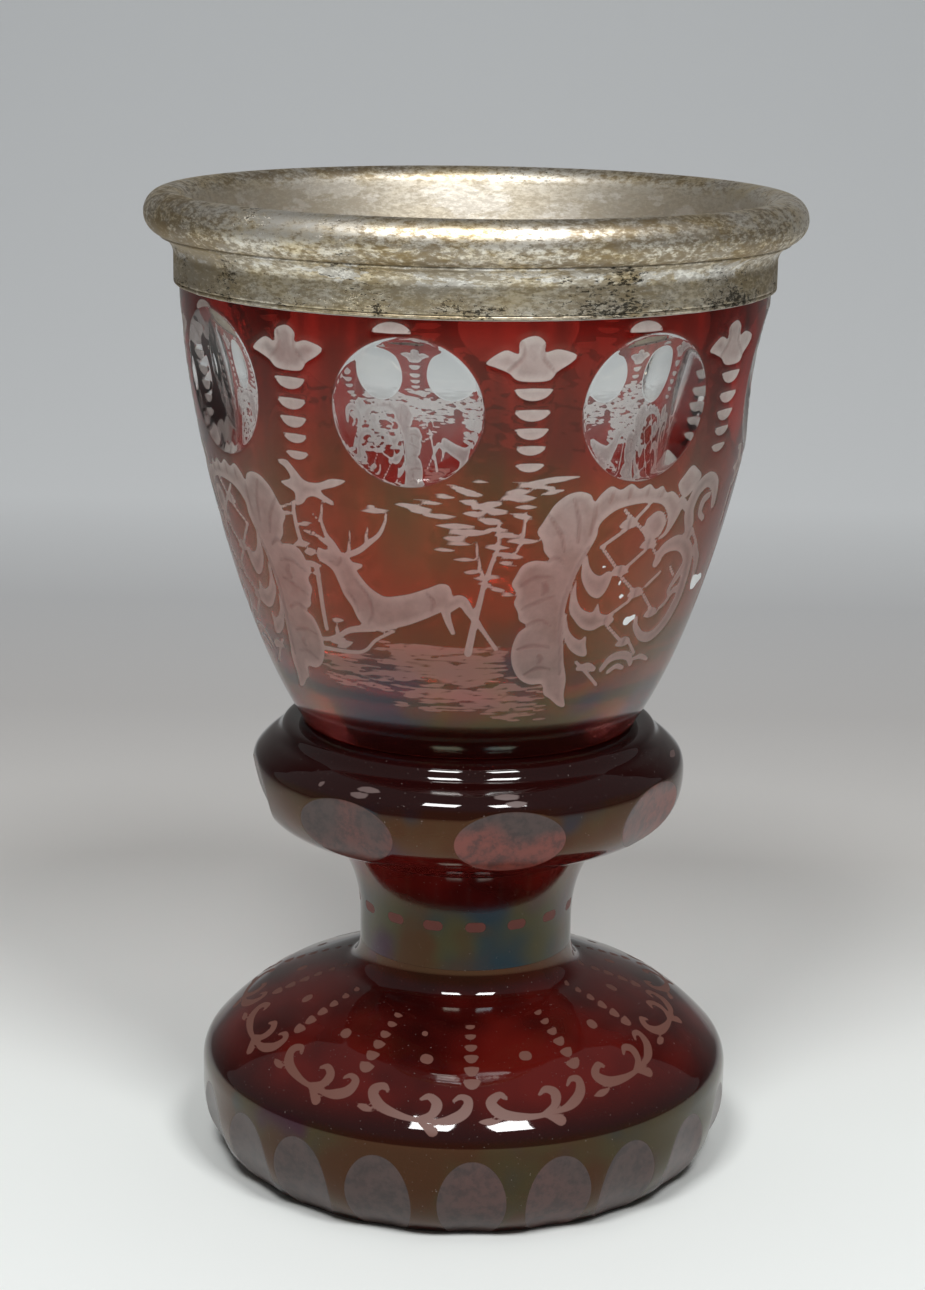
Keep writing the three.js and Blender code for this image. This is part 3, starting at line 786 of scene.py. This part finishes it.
def closed_body(wall, step):
    """A wall made even and closed by flat rows to the axis. Close rows beside each corner keep it crisp."""
    rows = evenly(wall, step)
    start, stop = rows[0], rows[-1]
    after = start + CORNER_SHARE * (rows[1] - start)
    before = stop + CORNER_SHARE * (rows[-2] - stop)
    inset = np.array([-CORNER_INSET, 0])
    body = chain([start + inset, start, after], rows[1:-1], [before, stop, stop + inset])
    return chain([(0, start[1])], body, [(0, stop[1])])


def cut_body(name, wall, step, lens, depth, figures, reference, lift=0.0):
    """A turned body with lens cuts of the given depth, and with figures on a sheet at the reference radius.

    lift raises the figures at the sides, where the dome lies flatter to the eye.
    """
    profile = closed_body(wall, step)
    widest = profile[:, 0].max()
    level = lens_field(solid_angles, profile[:, 1], widest, **lens)
    level[profile[:, 0] < widest * 0.75] = FAR
    up = np.concatenate([[-FAR], lengths(profile[1:-1]), [-FAR]])
    rise = (lift + 0.2 * lift * np.sin(solid_angles)) * (1 - np.cos(2 * solid_angles))
    sheet = Sheet(solid_angles, up[:, None] - rise, reference)
    figures(sheet)
    tilt = outward(profile)[:, 1:] + 0 * level
    marks = {"window": level, "figure": sheet.cut, "tilt": tilt}
    return turned_piece(name, profile, solid_angles, shift=hollow(level, depth), marks=marks)


FOOT_LENS = dict(cuts=FOOT_CUTS, middle=6.2, half_width=5.5, half_height=8.1)
COLLAR_LENS = dict(cuts=COLLAR_CUTS, middle=62.8, half_width=8.9, half_height=5.3)
NO_LENS = dict(cuts=[], middle=0, half_width=1, half_height=1)
foot_piece = cut_body("foot", foot_wall, 0.45, FOOT_LENS, 0.5, foot_figures, FOOT_ROUND, lift=3.8)
stem_piece = cut_body("stem", stem_wall, 0.4, NO_LENS, 0, stem_figures, STEM_R)
collar_piece = cut_body("collar", collar_wall, 0.45, COLLAR_LENS, 1.2, collar_figures, 35.0)

# %% [markdown]
# ## The metal mount
# The rim is sheet metal: a lining that goes down inside the mouth, a funnel, a fat rolled edge and, outside,
# a skirt with a flare and a thin wire under it. Each is a ring, so its profile is a loop.

# %% Profiles of the mount
SHEET = 0.6
ROLL_CENTRE = np.array([MOUTH_R + 2.0, LIP_Z + 7.7])
ROLL_RADIUS = 3.5
ROLL_START = -65
ROLL_STOP = 162
FUNNEL_LEAN = math.tan(math.radians(18))


def arc(centre, radius, start, stop, count):
    """Points on a circle between two angles in degrees."""
    a = np.radians(np.linspace(start, stop, count))
    return np.stack([centre[0] + radius * np.cos(a), centre[1] + radius * np.sin(a)], -1)


lining_z = LIP_Z - 3
lining_r = MOUTH_IN - 0.2 - SHEET
roll_front = arc(ROLL_CENTRE, ROLL_RADIUS, ROLL_START, ROLL_STOP, 60)
roll_back = arc(ROLL_CENTRE, ROLL_RADIUS - SHEET, ROLL_STOP, ROLL_START, 30)
funnel_z = roll_front[-1, 1] - (roll_front[-1, 0] - lining_r) / FUNNEL_LEAN
back_z = roll_back[0, 1] - (roll_back[0, 0] - lining_r - SHEET) / FUNNEL_LEAN
roll_profile = chain(
    roll_front,
    bezier([roll_front[-1], (lining_r, funnel_z)], 12),
    bezier([(lining_r, funnel_z), (lining_r, lining_z)], 5),
    bezier([(lining_r + SHEET, lining_z), (lining_r + SHEET, back_z)], 6),
    bezier([(lining_r + SHEET, back_z), roll_back[0]], 6),
    roll_back,
)
skirt_in = MOUTH_R + 0.3
skirt_out = skirt_in + SHEET
skirt_z = LIP_Z - 2.6
crease_z = LIP_Z + 1.5
flare_front = [(skirt_out, crease_z), (skirt_out + 0.3, crease_z + 1.95), (skirt_out + 2.15, crease_z + 2.6)]
flare_back = [(skirt_out + 1.95, crease_z + 3.2), (skirt_in + 0.2, crease_z + 2.55), (skirt_in, crease_z)]
skirt_profile = chain(
    bezier([(skirt_in, skirt_z), (skirt_out, skirt_z)], 3),
    bezier([(skirt_out, skirt_z), (skirt_out, crease_z)], 14),
    bezier(flare_front, 16),
    bezier(flare_back, 10),
)
WIRE_RADIUS = 0.3
wire_profile = arc((skirt_in + WIRE_RADIUS, skirt_z - 0.35), WIRE_RADIUS, 0, 330, 12)
mount_angles = column_angles(0.8, 1.2)
roll_piece = turned_piece("rolled_rim", roll_profile, mount_angles, loop=True)
skirt_piece = turned_piece("skirt", skirt_profile, mount_angles, loop=True)
wire_piece = turned_piece("wire", wire_profile, mount_angles, loop=True)

# %% [markdown]
# ## Shader maths as Python
# A material is a tree of nodes. The small class below wraps one output socket, so that an expression such as
# 1 - mask * 0.5 adds its Math nodes by itself. Every other node comes from one method of the finish.
# A figure's edge is softened over CUT_EDGE mm on either side of its outline.

# %% Two classes for materials
CUT_EDGE = 0.08


class Value:
    """An output socket with arithmetic."""

    def __init__(self, finish, socket):
        self.finish = finish
        self.socket = socket

    def math(self, operation, *others, first=None):
        numbers = [self, *others] if first is None else [first, self, *others]
        return self.finish.node("ShaderNodeMath", {"operation": operation}, dict(enumerate(numbers)))

    def __add__(self, other):
        return self.math("ADD", other)

    __radd__ = __add__

    def __sub__(self, other):
        return self.math("SUBTRACT", other)

    def __rsub__(self, other):
        return self.math("SUBTRACT", first=other)

    def __mul__(self, other):
        return self.math("MULTIPLY", other)

    __rmul__ = __mul__

    def between(self, low, high):
        """0 where the value is low, 1 where it is high, and smooth between them."""
        settings = {"interpolation_type": "SMOOTHSTEP"}
        return self.finish.node("ShaderNodeMapRange", settings, {0: self, 1: low, 2: high})


class Finish:
    """A material with an empty tree, and one method that adds any node to it."""

    def __init__(self, name):
        self.material = bpy.data.materials.new(name)
        self.material.use_nodes = True
        self.tree = self.material.node_tree
        self.tree.nodes.clear()

    def node(self, kind, settings=None, inputs=None, output=0):
        """Makes a node, sets it up, fills or links its inputs and gives back one output."""
        made = self.tree.nodes.new(kind)
        for key, value in (settings or {}).items():
            if key == "stops":
                self.fill_ramp(made.color_ramp, value)
            else:
                setattr(made, key, value)
        for key, value in (inputs or {}).items():
            if isinstance(value, Value):
                self.tree.links.new(value.socket, made.inputs[key])
            else:
                made.inputs[key].default_value = value
        return Value(self, made.outputs[output]) if made.outputs else None

    def fill_ramp(self, ramp, stops):
        while len(ramp.elements) < len(stops):
            ramp.elements.new(0.5)
        for element, (place, colour) in zip(ramp.elements, stops):
            element.position = place
            element.color = (*colour, 1)

    def mark(self, name):
        """A float attribute of the mesh."""
        return self.node("ShaderNodeAttribute", {"attribute_name": name}, output="Fac")

    def inside(self, name):
        """1 inside the figures of a sheet, 0 outside."""
        return self.mark(name).between(CUT_EDGE, -CUT_EDGE)

    def place(self):
        return self.node("ShaderNodeTexCoord", output="Object")

    def along(self, axis):
        """One coordinate of the place, in metres."""
        return self.node("ShaderNodeSeparateXYZ", {}, {0: self.place()}, output=axis)

    def scaled(self, *scale):
        """The place with each axis scaled. A small scale draws a pattern out along that axis."""
        return self.node("ShaderNodeMapping", {}, {0: self.place(), 3: scale})

    def length(self, vector):
        return self.node("ShaderNodeVectorMath", {"operation": "LENGTH"}, {0: vector}, output="Value")

    def noise(self, scale, detail=3.0, roughness=0.55, vector=None):
        inputs = {"Vector": vector or self.place(), "Scale": scale, "Detail": detail, "Roughness": roughness}
        return self.node("ShaderNodeTexNoise", {}, inputs)

    def blend(self, factor, a, b):
        """Colour a where the factor is 0 and b where it is 1."""
        a, b = [(*c, 1) if isinstance(c, tuple) else c for c in (a, b)]
        return self.node("ShaderNodeMix", {"data_type": "RGBA"}, {0: factor, 6: a, 7: b}, output=2)

    def mix_shaders(self, factor, a, b):
        return self.node("ShaderNodeMixShader", {}, {0: factor, 1: a, 2: b})

    def principled(self, **inputs):
        named = {key.replace("_", " "): value for key, value in inputs.items()}
        for key, value in named.items():
            if isinstance(value, tuple) and len(value) == 3:
                named[key] = (*value, 1)
        return self.node("ShaderNodeBsdfPrincipled", {}, named)

    def bump(self, height, strength, distance):
        inputs = {"Height": height, "Strength": strength, "Distance": distance * MM}
        return self.node("ShaderNodeBump", {}, inputs)

    def finish(self, surface):
        self.node("ShaderNodeOutputMaterial", {}, {"Surface": surface})
        return self.material


# %% [markdown]
# ## Lustre
# A thin metallic film on the stained skin gives its reflections colours that change from place to place.
# Each shader here has one constant tint for its reflections, so noise mixes four of them.

# %% Lustre
COPPER = (1.0, 0.58, 0.3)
OLIVE = (0.85, 0.85, 0.42)
TEAL = (0.22, 0.62, 0.8)
PLUM = (0.7, 0.4, 0.62)


def lustre(f, glass, cloud, band):
    """The glass with tinted reflections: copper and olive at band 0, teal, olive and plum at band 1."""
    tints = (COPPER, OLIVE, TEAL, PLUM)
    copper, olive, teal, plum = (f.principled(**glass, Specular_Tint=tint) for tint in tints)
    patches = f.noise(52, 2.0, 0.5)
    warm = f.mix_shaders(cloud.between(0.42, 0.6), copper, olive)
    cool = f.mix_shaders(patches.between(0.38, 0.56), teal, olive)
    cool = f.mix_shaders(patches.between(0.54, 0.68), cool, plum)
    return f.mix_shaders(band, warm, cool)


# %% [markdown]
# ## Ruby glass
# The glass is clear and only its skin is red: a stain fired into the outer surface, which the cuts take away.
# So the colour sits on the outer wall, and the windows and the inside let white light through. The red runs
# from streaked ruby at the top, which has no lustre, to a nearly black one at the bottom.

# %% Ruby bowl glass
RUBY = (0.22, 0.0004, 0.0002)
STREAK_RUBY = (0.06, 0.0002, 0.0001)
DEEP_RUBY = (0.24, 0.0006, 0.0003)
BLACK_RUBY = (0.014, 0.0005, 0.0004)
WARM = (1.0, 0.72, 0.55)
CLEAR = (0.97, 0.98, 0.97)
MATT_HIGH = (0.97, 0.9, 0.83)
MATT_LOW = (0.86, 0.6, 0.53)
PAINTED_LIT_MATT_BACK = (0.98, 0.96, 0.93)
MATT_DARK = (0.28, 0.11, 0.09)
HATCH = (0.7, 0.33, 0.28)
FLAKE = (0.85, 0.86, 0.86)


def ruby_bowl_glass():
    """Clear glass inside a red skin with a lustre. The wheel's figures are matt, the windows polished."""
    f = Finish("ruby_bowl")
    cloud = f.noise(26, 2.0, 0.5)
    height = f.along("Z")

    def going_down(uneven, start, stop):
        """0 above the height start, 1 below stop, with both made uneven by the cloud. All are in metres."""
        return (height + (cloud - 0.5) * uneven).between(start, stop)

    streaks = f.noise(110, 3.0, 0.6, f.scaled(1, 1, 0.15))
    red = f.blend(streaks.between(0.38, 0.62), RUBY, STREAK_RUBY)
    red = f.blend(going_down(0.02, 0.12, 0.092), red, DEEP_RUBY)
    red = f.blend(going_down(0.02, 0.091, 0.079), red, BLACK_RUBY)
    glass = dict(Base_Color=red, Roughness=0.03, IOR=1.5, Transmission_Weight=0.82)
    plain = f.principled(**glass, Specular_Tint=WARM)
    glossy = dict(glass, Specular_IOR_Level=1.0, Roughness=0.12, IOR=1.62)
    shining = lustre(f, glossy, cloud, going_down(0.06, 0.096, 0.082))
    skin = f.mix_shaders(going_down(0.03, 0.134, 0.116), plain, shining)
    clear = f.principled(Base_Color=CLEAR, Roughness=0.02, IOR=1.5, Transmission_Weight=1.0)
    uncut = f.mark("window").between(1.0, 1.02)
    skin = f.mix_shaders(uncut * (1 - f.mark("inner")), clear, skin)
    hatch = f.principled(Base_Color=HATCH, Roughness=0.45, Transmission_Weight=0.5, IOR=1.45)
    skin = f.mix_shaders(f.inside("faint") * 0.5 * uncut, skin, hatch)
    grain = f.noise(900, 4.0, 0.7)
    vein = f.mark("vein").between(0.4, -0.15)
    # Painted shade: each figure's tone is darker in its core, the deep middle of the cut.
    shaded_core = f.mark("figure").between(-0.3, -1.5)
    tone = (0.66 + (grain - 0.5) * 0.5) * (1 - vein * 0.5) * (1 - shaded_core * 0.25)
    pale = f.blend(going_down(0.02, 0.126, 0.104), MATT_HIGH, MATT_LOW)
    # Painted light: the figures on the far half are whiter, where the lamps in front fall on them.
    pale = f.blend(f.along("Y").between(0.0, 0.02), pale, PAINTED_LIT_MATT_BACK)
    dust = f.blend(tone, MATT_DARK, pale)
    relief = f.bump(grain * 0.3 - vein, 0.5, 0.3)
    matt = f.principled(Base_Color=dust, Roughness=0.5, Transmission_Weight=0.62, IOR=1.45, Normal=relief)
    worn = shaded_core * f.noise(120, 4.0, 0.6).between(0.35, 0.7) * 0.3
    engraved = f.mix_shaders(f.inside("figure") * (1 - worn) * uncut, skin, matt)
    flake = f.principled(Base_Color=FLAKE, Roughness=0.5)
    return f.finish(f.mix_shaders(f.inside("chip"), engraved, flake))


bowl_piece.data.materials.append(ruby_bowl_glass())

# %% [markdown]
# ## Dark ruby glass
# Foot, stem and collar are so thick that they look almost black, with a red glow where light gets in.
# They are made as opaque dark red, and their red glow is painted into that colour in a band of height. Their
# lens cuts are smoothed, not polished: grey and scratched, with the red showing through in places, more of
# it in the painted glow band.

# %% Dark ruby glass
GREY_CUT = (0.066, 0.038, 0.033)
SCRATCHED = (0.02, 0.012, 0.012)
SPECK = (0.35, 0.3, 0.28)


def dark_ruby_glass(name, cut_colour, figure_colour, shade, painted_glow, bright, warmth):
    """Thick dark red glass, with a lustre where the wall stands upright.

    The body colour goes in clouds from shade, its dark red, to painted_glow, a red glow painted in, between
    the two heights of bright, in metres. warmth is the noise level above which the lustre turns from copper
    and olive to teal and plum.
    """
    f = Finish(name)
    cloud = f.noise(38, 3.0, 0.6)
    streak = f.noise(90, 2.0, 0.5)
    # The band of height where a red glow is painted into the body colour.
    painted_glow_band = f.along("Z").between(*bright)
    body = f.blend(cloud.between(0.3, 0.66) * painted_glow_band, shade, painted_glow)
    body = f.blend(f.noise(2400, 2.0, 0.5).between(0.71, 0.76) * 0.35, body, SPECK)
    polished = f.principled(Base_Color=body, Roughness=0.04, IOR=1.5)
    cool = (streak * 0.5 + cloud * 0.5).between(warmth, warmth + 0.12)
    shining = lustre(f, dict(Base_Color=body, Roughness=0.1, IOR=1.6), cloud, cool)
    skin = f.mix_shaders(f.mark("tilt").between(0.5, 0.25), polished, shining)
    scratch = f.noise(500, 5.0, 0.7)
    # Red shows through the cuts in noise patches, more of it in the painted glow band.
    ember = (f.noise(70, 1.0, 0.5) + (painted_glow_band - 0.5) * 0.12).between(0.4, 0.64)
    tone = f.blend(ember, GREY_CUT, cut_colour)
    tone = f.blend(scratch.between(0.4, 0.66) * 0.65, tone, SCRATCHED)
    ground_glass = f.principled(Base_Color=tone, Roughness=0.3, IOR=1.5, Normal=f.bump(scratch, 0.2, 0.1))
    skin = f.mix_shaders(f.mark("window").between(1.02, 1.0), skin, ground_glass)
    matt = f.principled(Base_Color=figure_colour, Roughness=0.5, IOR=1.45)
    return f.finish(f.mix_shaders(f.inside("figure"), skin, matt))


DARK_GLASS = {
    "foot": dict(
        cut_colour=(0.085, 0.038, 0.032),
        figure_colour=(0.145, 0.06, 0.045),
        shade=(0.018, 0.0016, 0.0014),
        painted_glow=(0.095, 0.006, 0.004),
        bright=(0.0175, 0.0235),
        warmth=0.49,
    ),
    "stem": dict(
        cut_colour=(0.1, 0.05, 0.05),
        figure_colour=(0.19, 0.04, 0.026),
        shade=(0.02, 0.002, 0.0018),
        painted_glow=(0.12, 0.006, 0.004),
        bright=(0.044, 0.052),
        warmth=0.37,
    ),
    "collar": dict(
        cut_colour=(0.19, 0.045, 0.032),
        figure_colour=(0.12, 0.08, 0.075),
        shade=(0.014, 0.0016, 0.0015),
        painted_glow=(0.08, 0.004, 0.003),
        bright=(0.069, 0.06),
        warmth=0.45,
    ),
}
for dark_piece in (foot_piece, stem_piece, collar_piece):
    dark_finish = dark_ruby_glass("ruby_" + dark_piece.name, **DARK_GLASS[dark_piece.name])
    dark_piece.data.materials.append(dark_finish)

# %% [markdown]
# ## Old silver and plaster
# The rim was silvered and has worn. Noise at several scales mixes bright metal with golden and brown
# tarnish, fine dark specks and black pits. The lining inside the mouth is duller, the band at the bottom is
# browner, and pale places show where the flare has peeled. The plaster under the metal is matt.

# %% Silver and plaster
SILVER = (0.9, 0.86, 0.76)
GOLDEN_SILVER = (0.84, 0.74, 0.54)
BROWN = (0.36, 0.27, 0.15)
GOLDEN_BROWN = (0.37, 0.25, 0.09)
DULL_LINING = (0.52, 0.48, 0.4)
BAND_BROWN = (0.42, 0.35, 0.22)
PEELED = (0.94, 0.92, 0.87)
DARK_SPECK = (0.14, 0.1, 0.055)
PIT = (0.03, 0.026, 0.02)
DARK_PLASTER = (0.5, 0.47, 0.4)
PALE_PLASTER = (0.75, 0.73, 0.68)


def old_silver(name, worn):
    """Grey metal under brown and golden tarnish. worn is how much of it is pitted black and peeled."""
    f = Finish(name)
    level = f.scaled(1, 1, 2.5)
    height = f.along("Z")
    inside = f.length(f.scaled(1, 1, 0)).between(0.0464, 0.045)
    flare = height.between(0.1495, 0.1505)
    broad = f.noise(20, 3.0, 0.5)
    middle = f.noise(650, 6.0, 0.75, level)
    fine = f.noise(1700, 4.0, 0.75)
    under = height.between(0.1575, 0.1535)
    tarnish = (broad * 0.35 + middle * 0.65 + under * 0.05).between(0.42, 0.62)
    golden = f.noise(120, 5.0, 0.7, level).between(0.4, 0.64)
    bright = f.blend(golden, SILVER, GOLDEN_SILVER)
    brown = f.blend(golden, BROWN, GOLDEN_BROWN)
    colour = f.blend(tarnish * (0.92 - worn * 0.3), bright, brown)
    colour = f.blend(inside * 0.8, colour, DULL_LINING)
    colour = f.blend((1 - flare) * 0.35, colour, BAND_BROWN)
    peeled = f.noise(80, 6.0, 0.7, level).between(0.52, 0.55) * (0.15 + flare * 0.65) * worn
    colour = f.blend(peeled, colour, PEELED)
    specks = (fine * 0.5 + broad * 0.2 + tarnish * 0.3).between(0.46, 0.62) * (1 - inside * 0.7)
    colour = f.blend(specks * (0.5 - worn * 0.15), colour, DARK_SPECK)
    pits = f.noise(900, 6.0, 0.8, level) * 0.6 + f.noise(60, 3.0, 0.6) * 0.4
    edge = height.between(0.1485, 0.1462) * worn * 0.03
    black = (pits + edge).between(0.6 - worn * 0.04, 0.62 - worn * 0.04) * (1 - inside)
    colour = f.blend(black * 0.9, colour, PIT)
    rough = 0.4 + tarnish * 0.1 + black * 0.25 + inside * 0.1
    relief = f.bump(middle * 0.5 - black, 0.4, 0.2)
    return f.finish(f.principled(Base_Color=colour, Metallic=1.0, Roughness=rough, Normal=relief))


def plaster():
    """Off-white plaster with a fine grain."""
    f = Finish("rim_plaster")
    colour = f.blend(f.noise(900), DARK_PLASTER, PALE_PLASTER)
    return f.finish(f.principled(Base_Color=colour, Roughness=0.9))


for metal_piece, worn in ((roll_piece, 0.35), (skirt_piece, 1.0), (wire_piece, 0.8)):
    metal_piece.data.materials.append(old_silver("silver_" + metal_piece.name, worn))
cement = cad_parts["rim_cement"]
cement.data.materials.clear()
cement.data.materials.append(plaster())
print("materials made:", len(bpy.data.materials))

# %% [markdown]
# ## Floor, backdrop and light
# The cup stands on a pale sweep that rises behind it. Two soft boxes in front and one broad light overhead
# light it. The room gives little light, but it is brighter where metal and glass mirror it and where the
# camera sees it past the end of the sweep.

# %% The sweep and its paper
def sweep():
    """A floor that curves up into a wall behind the cup, as one strip."""
    line = chain([(-1200, 0)], [(500, 0)], arc((500, 500), 500, -90, 0, 24), [(1000, 1600)])
    x = np.broadcast_to(np.array([-1500.0, 1500.0]), (len(line), 2))
    y, z = (np.repeat(line[:, [k]], 2, 1) for k in (0, 1))
    i = np.arange(len(line) - 1)
    faces = np.stack([2 * i, 2 * i + 1, 2 * i + 3, 2 * i + 2], -1)
    return link_mesh("studio_sweep", np.stack([x, y, z], -1).reshape(-1, 3), faces.tolist())


# Painted shade in the paper's colour: darker behind the cup and high up, as the lamps' light falls off.
PAPER_SHADE_STOPS = [
    (0.12, (0.87, 0.9, 0.89)),
    (0.2, (0.86, 0.89, 0.87)),
    (0.26, (0.79, 0.8, 0.78)),
    (0.32, (0.6, 0.59, 0.57)),
    (0.42, (0.52, 0.51, 0.5)),
    (0.52, (0.56, 0.565, 0.57)),
    (0.64, (0.8, 0.82, 0.83)),
    (1.0, (0.72, 0.745, 0.76)),
]
DARK_ROOM = (0.34, 0.33, 0.32)


def paper():
    """Pale paper with painted shade: grey on the floor behind the cup and greyer again high up the wall.

    In reflections it fades to a dark room away from the cup.
    """
    f = Finish("studio_paper")
    along = f.along("Y") * 0.8 + f.along("Z") * 0.3 + 0.2
    colour = f.node("ShaderNodeValToRGB", {"stops": PAPER_SHADE_STOPS}, {0: along})
    away = f.length(f.place()).between(0.3, 0.8)
    glossy = f.node("ShaderNodeLightPath", output="Is Glossy Ray")
    passed = f.node("ShaderNodeLightPath", output="Is Transmission Ray")
    seen = f.blend(away * glossy * (1 - passed), colour, DARK_ROOM)
    return f.finish(f.principled(Base_Color=seen, Roughness=0.9, Specular_IOR_Level=0.1))


floor = sweep()
floor.data.materials.append(paper())

# %% Lamps
FRONT_WATTS = 4.0
CEILING_WATTS = 3.9


def soft_box(name, place, target, width, height, watts):
    """A rectangular area light at place, facing target, sizes in mm."""
    light = bpy.data.lights.new(name, "AREA")
    light.shape = "RECTANGLE"
    light.size = width * MM
    light.size_y = height * MM
    light.energy = watts
    lamp = bpy.data.objects.new(name, light)
    bpy.context.scene.collection.objects.link(lamp)
    here, there = metres(place), metres(target)
    facing = (there - here).to_track_quat("-Z", "Y").to_matrix().to_4x4()
    lamp.matrix_world = Matrix.Translation(here) @ facing
    lamp.visible_transmission = False
    return lamp


for lamp_name, lamp_x in (("front_left", -170), ("front_right", 270)):
    soft_box(lamp_name, (lamp_x, -505, 830), (0, 0, 60), 230, 190, FRONT_WATTS)
ceiling = soft_box("ceiling", (0, 100, 1200), (0, 0, 0), 1200, 1000, CEILING_WATTS)
ceiling.visible_glossy = False
print("lamps:", len(bpy.data.lights))

# %% The room around
ROOM_LIGHT = 0.06
ROOM_MIRRORED = 0.2
ROOM_SEEN = 0.45
world = bpy.data.worlds.new("studio_world")
bpy.context.scene.world = world
world.use_nodes = True
tree = world.node_tree
ray = tree.nodes.new("ShaderNodeLightPath")
level = tree.nodes.new("ShaderNodeMapRange")
level.inputs["To Min"].default_value = ROOM_LIGHT
level.inputs["To Max"].default_value = ROOM_MIRRORED
seen = tree.nodes.new("ShaderNodeMath")
seen.operation = "MULTIPLY_ADD"
seen.inputs[1].default_value = ROOM_SEEN
tree.links.new(ray.outputs["Is Glossy Ray"], level.inputs["Value"])
tree.links.new(ray.outputs["Is Camera Ray"], seen.inputs[0])
tree.links.new(level.outputs["Result"], seen.inputs[2])
tree.links.new(seen.outputs["Value"], tree.nodes["Background"].inputs["Strength"])
tree.nodes["Background"].inputs["Color"].default_value = (1, 1, 1, 1)
bpy.context.scene.view_settings.view_transform = "Standard"
bpy.context.scene.cycles.use_denoising = True

# %% [markdown]
# ## Tie the pieces to the frame
# Nothing on the cup moves, so every piece rides on the one body. Each stands in for its own solid.

# %% Bind the pieces to the body
PIECES = {
    "glass_bowl": (bowl_piece, "ruby_glass"),
    "glass_collar": (collar_piece, "dark_ruby_glass"),
    "glass_stem": (stem_piece, "dark_ruby_glass"),
    "glass_foot": (foot_piece, "dark_ruby_glass"),
    "rim_roll": (roll_piece, "silver_plate"),
    "rim_skirt": (skirt_piece, "silver_plate"),
    "rim_wire": (wire_piece, "silver_plate"),
}
for node, (piece, slot) in PIECES.items():
    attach(piece, "root")
    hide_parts(node)
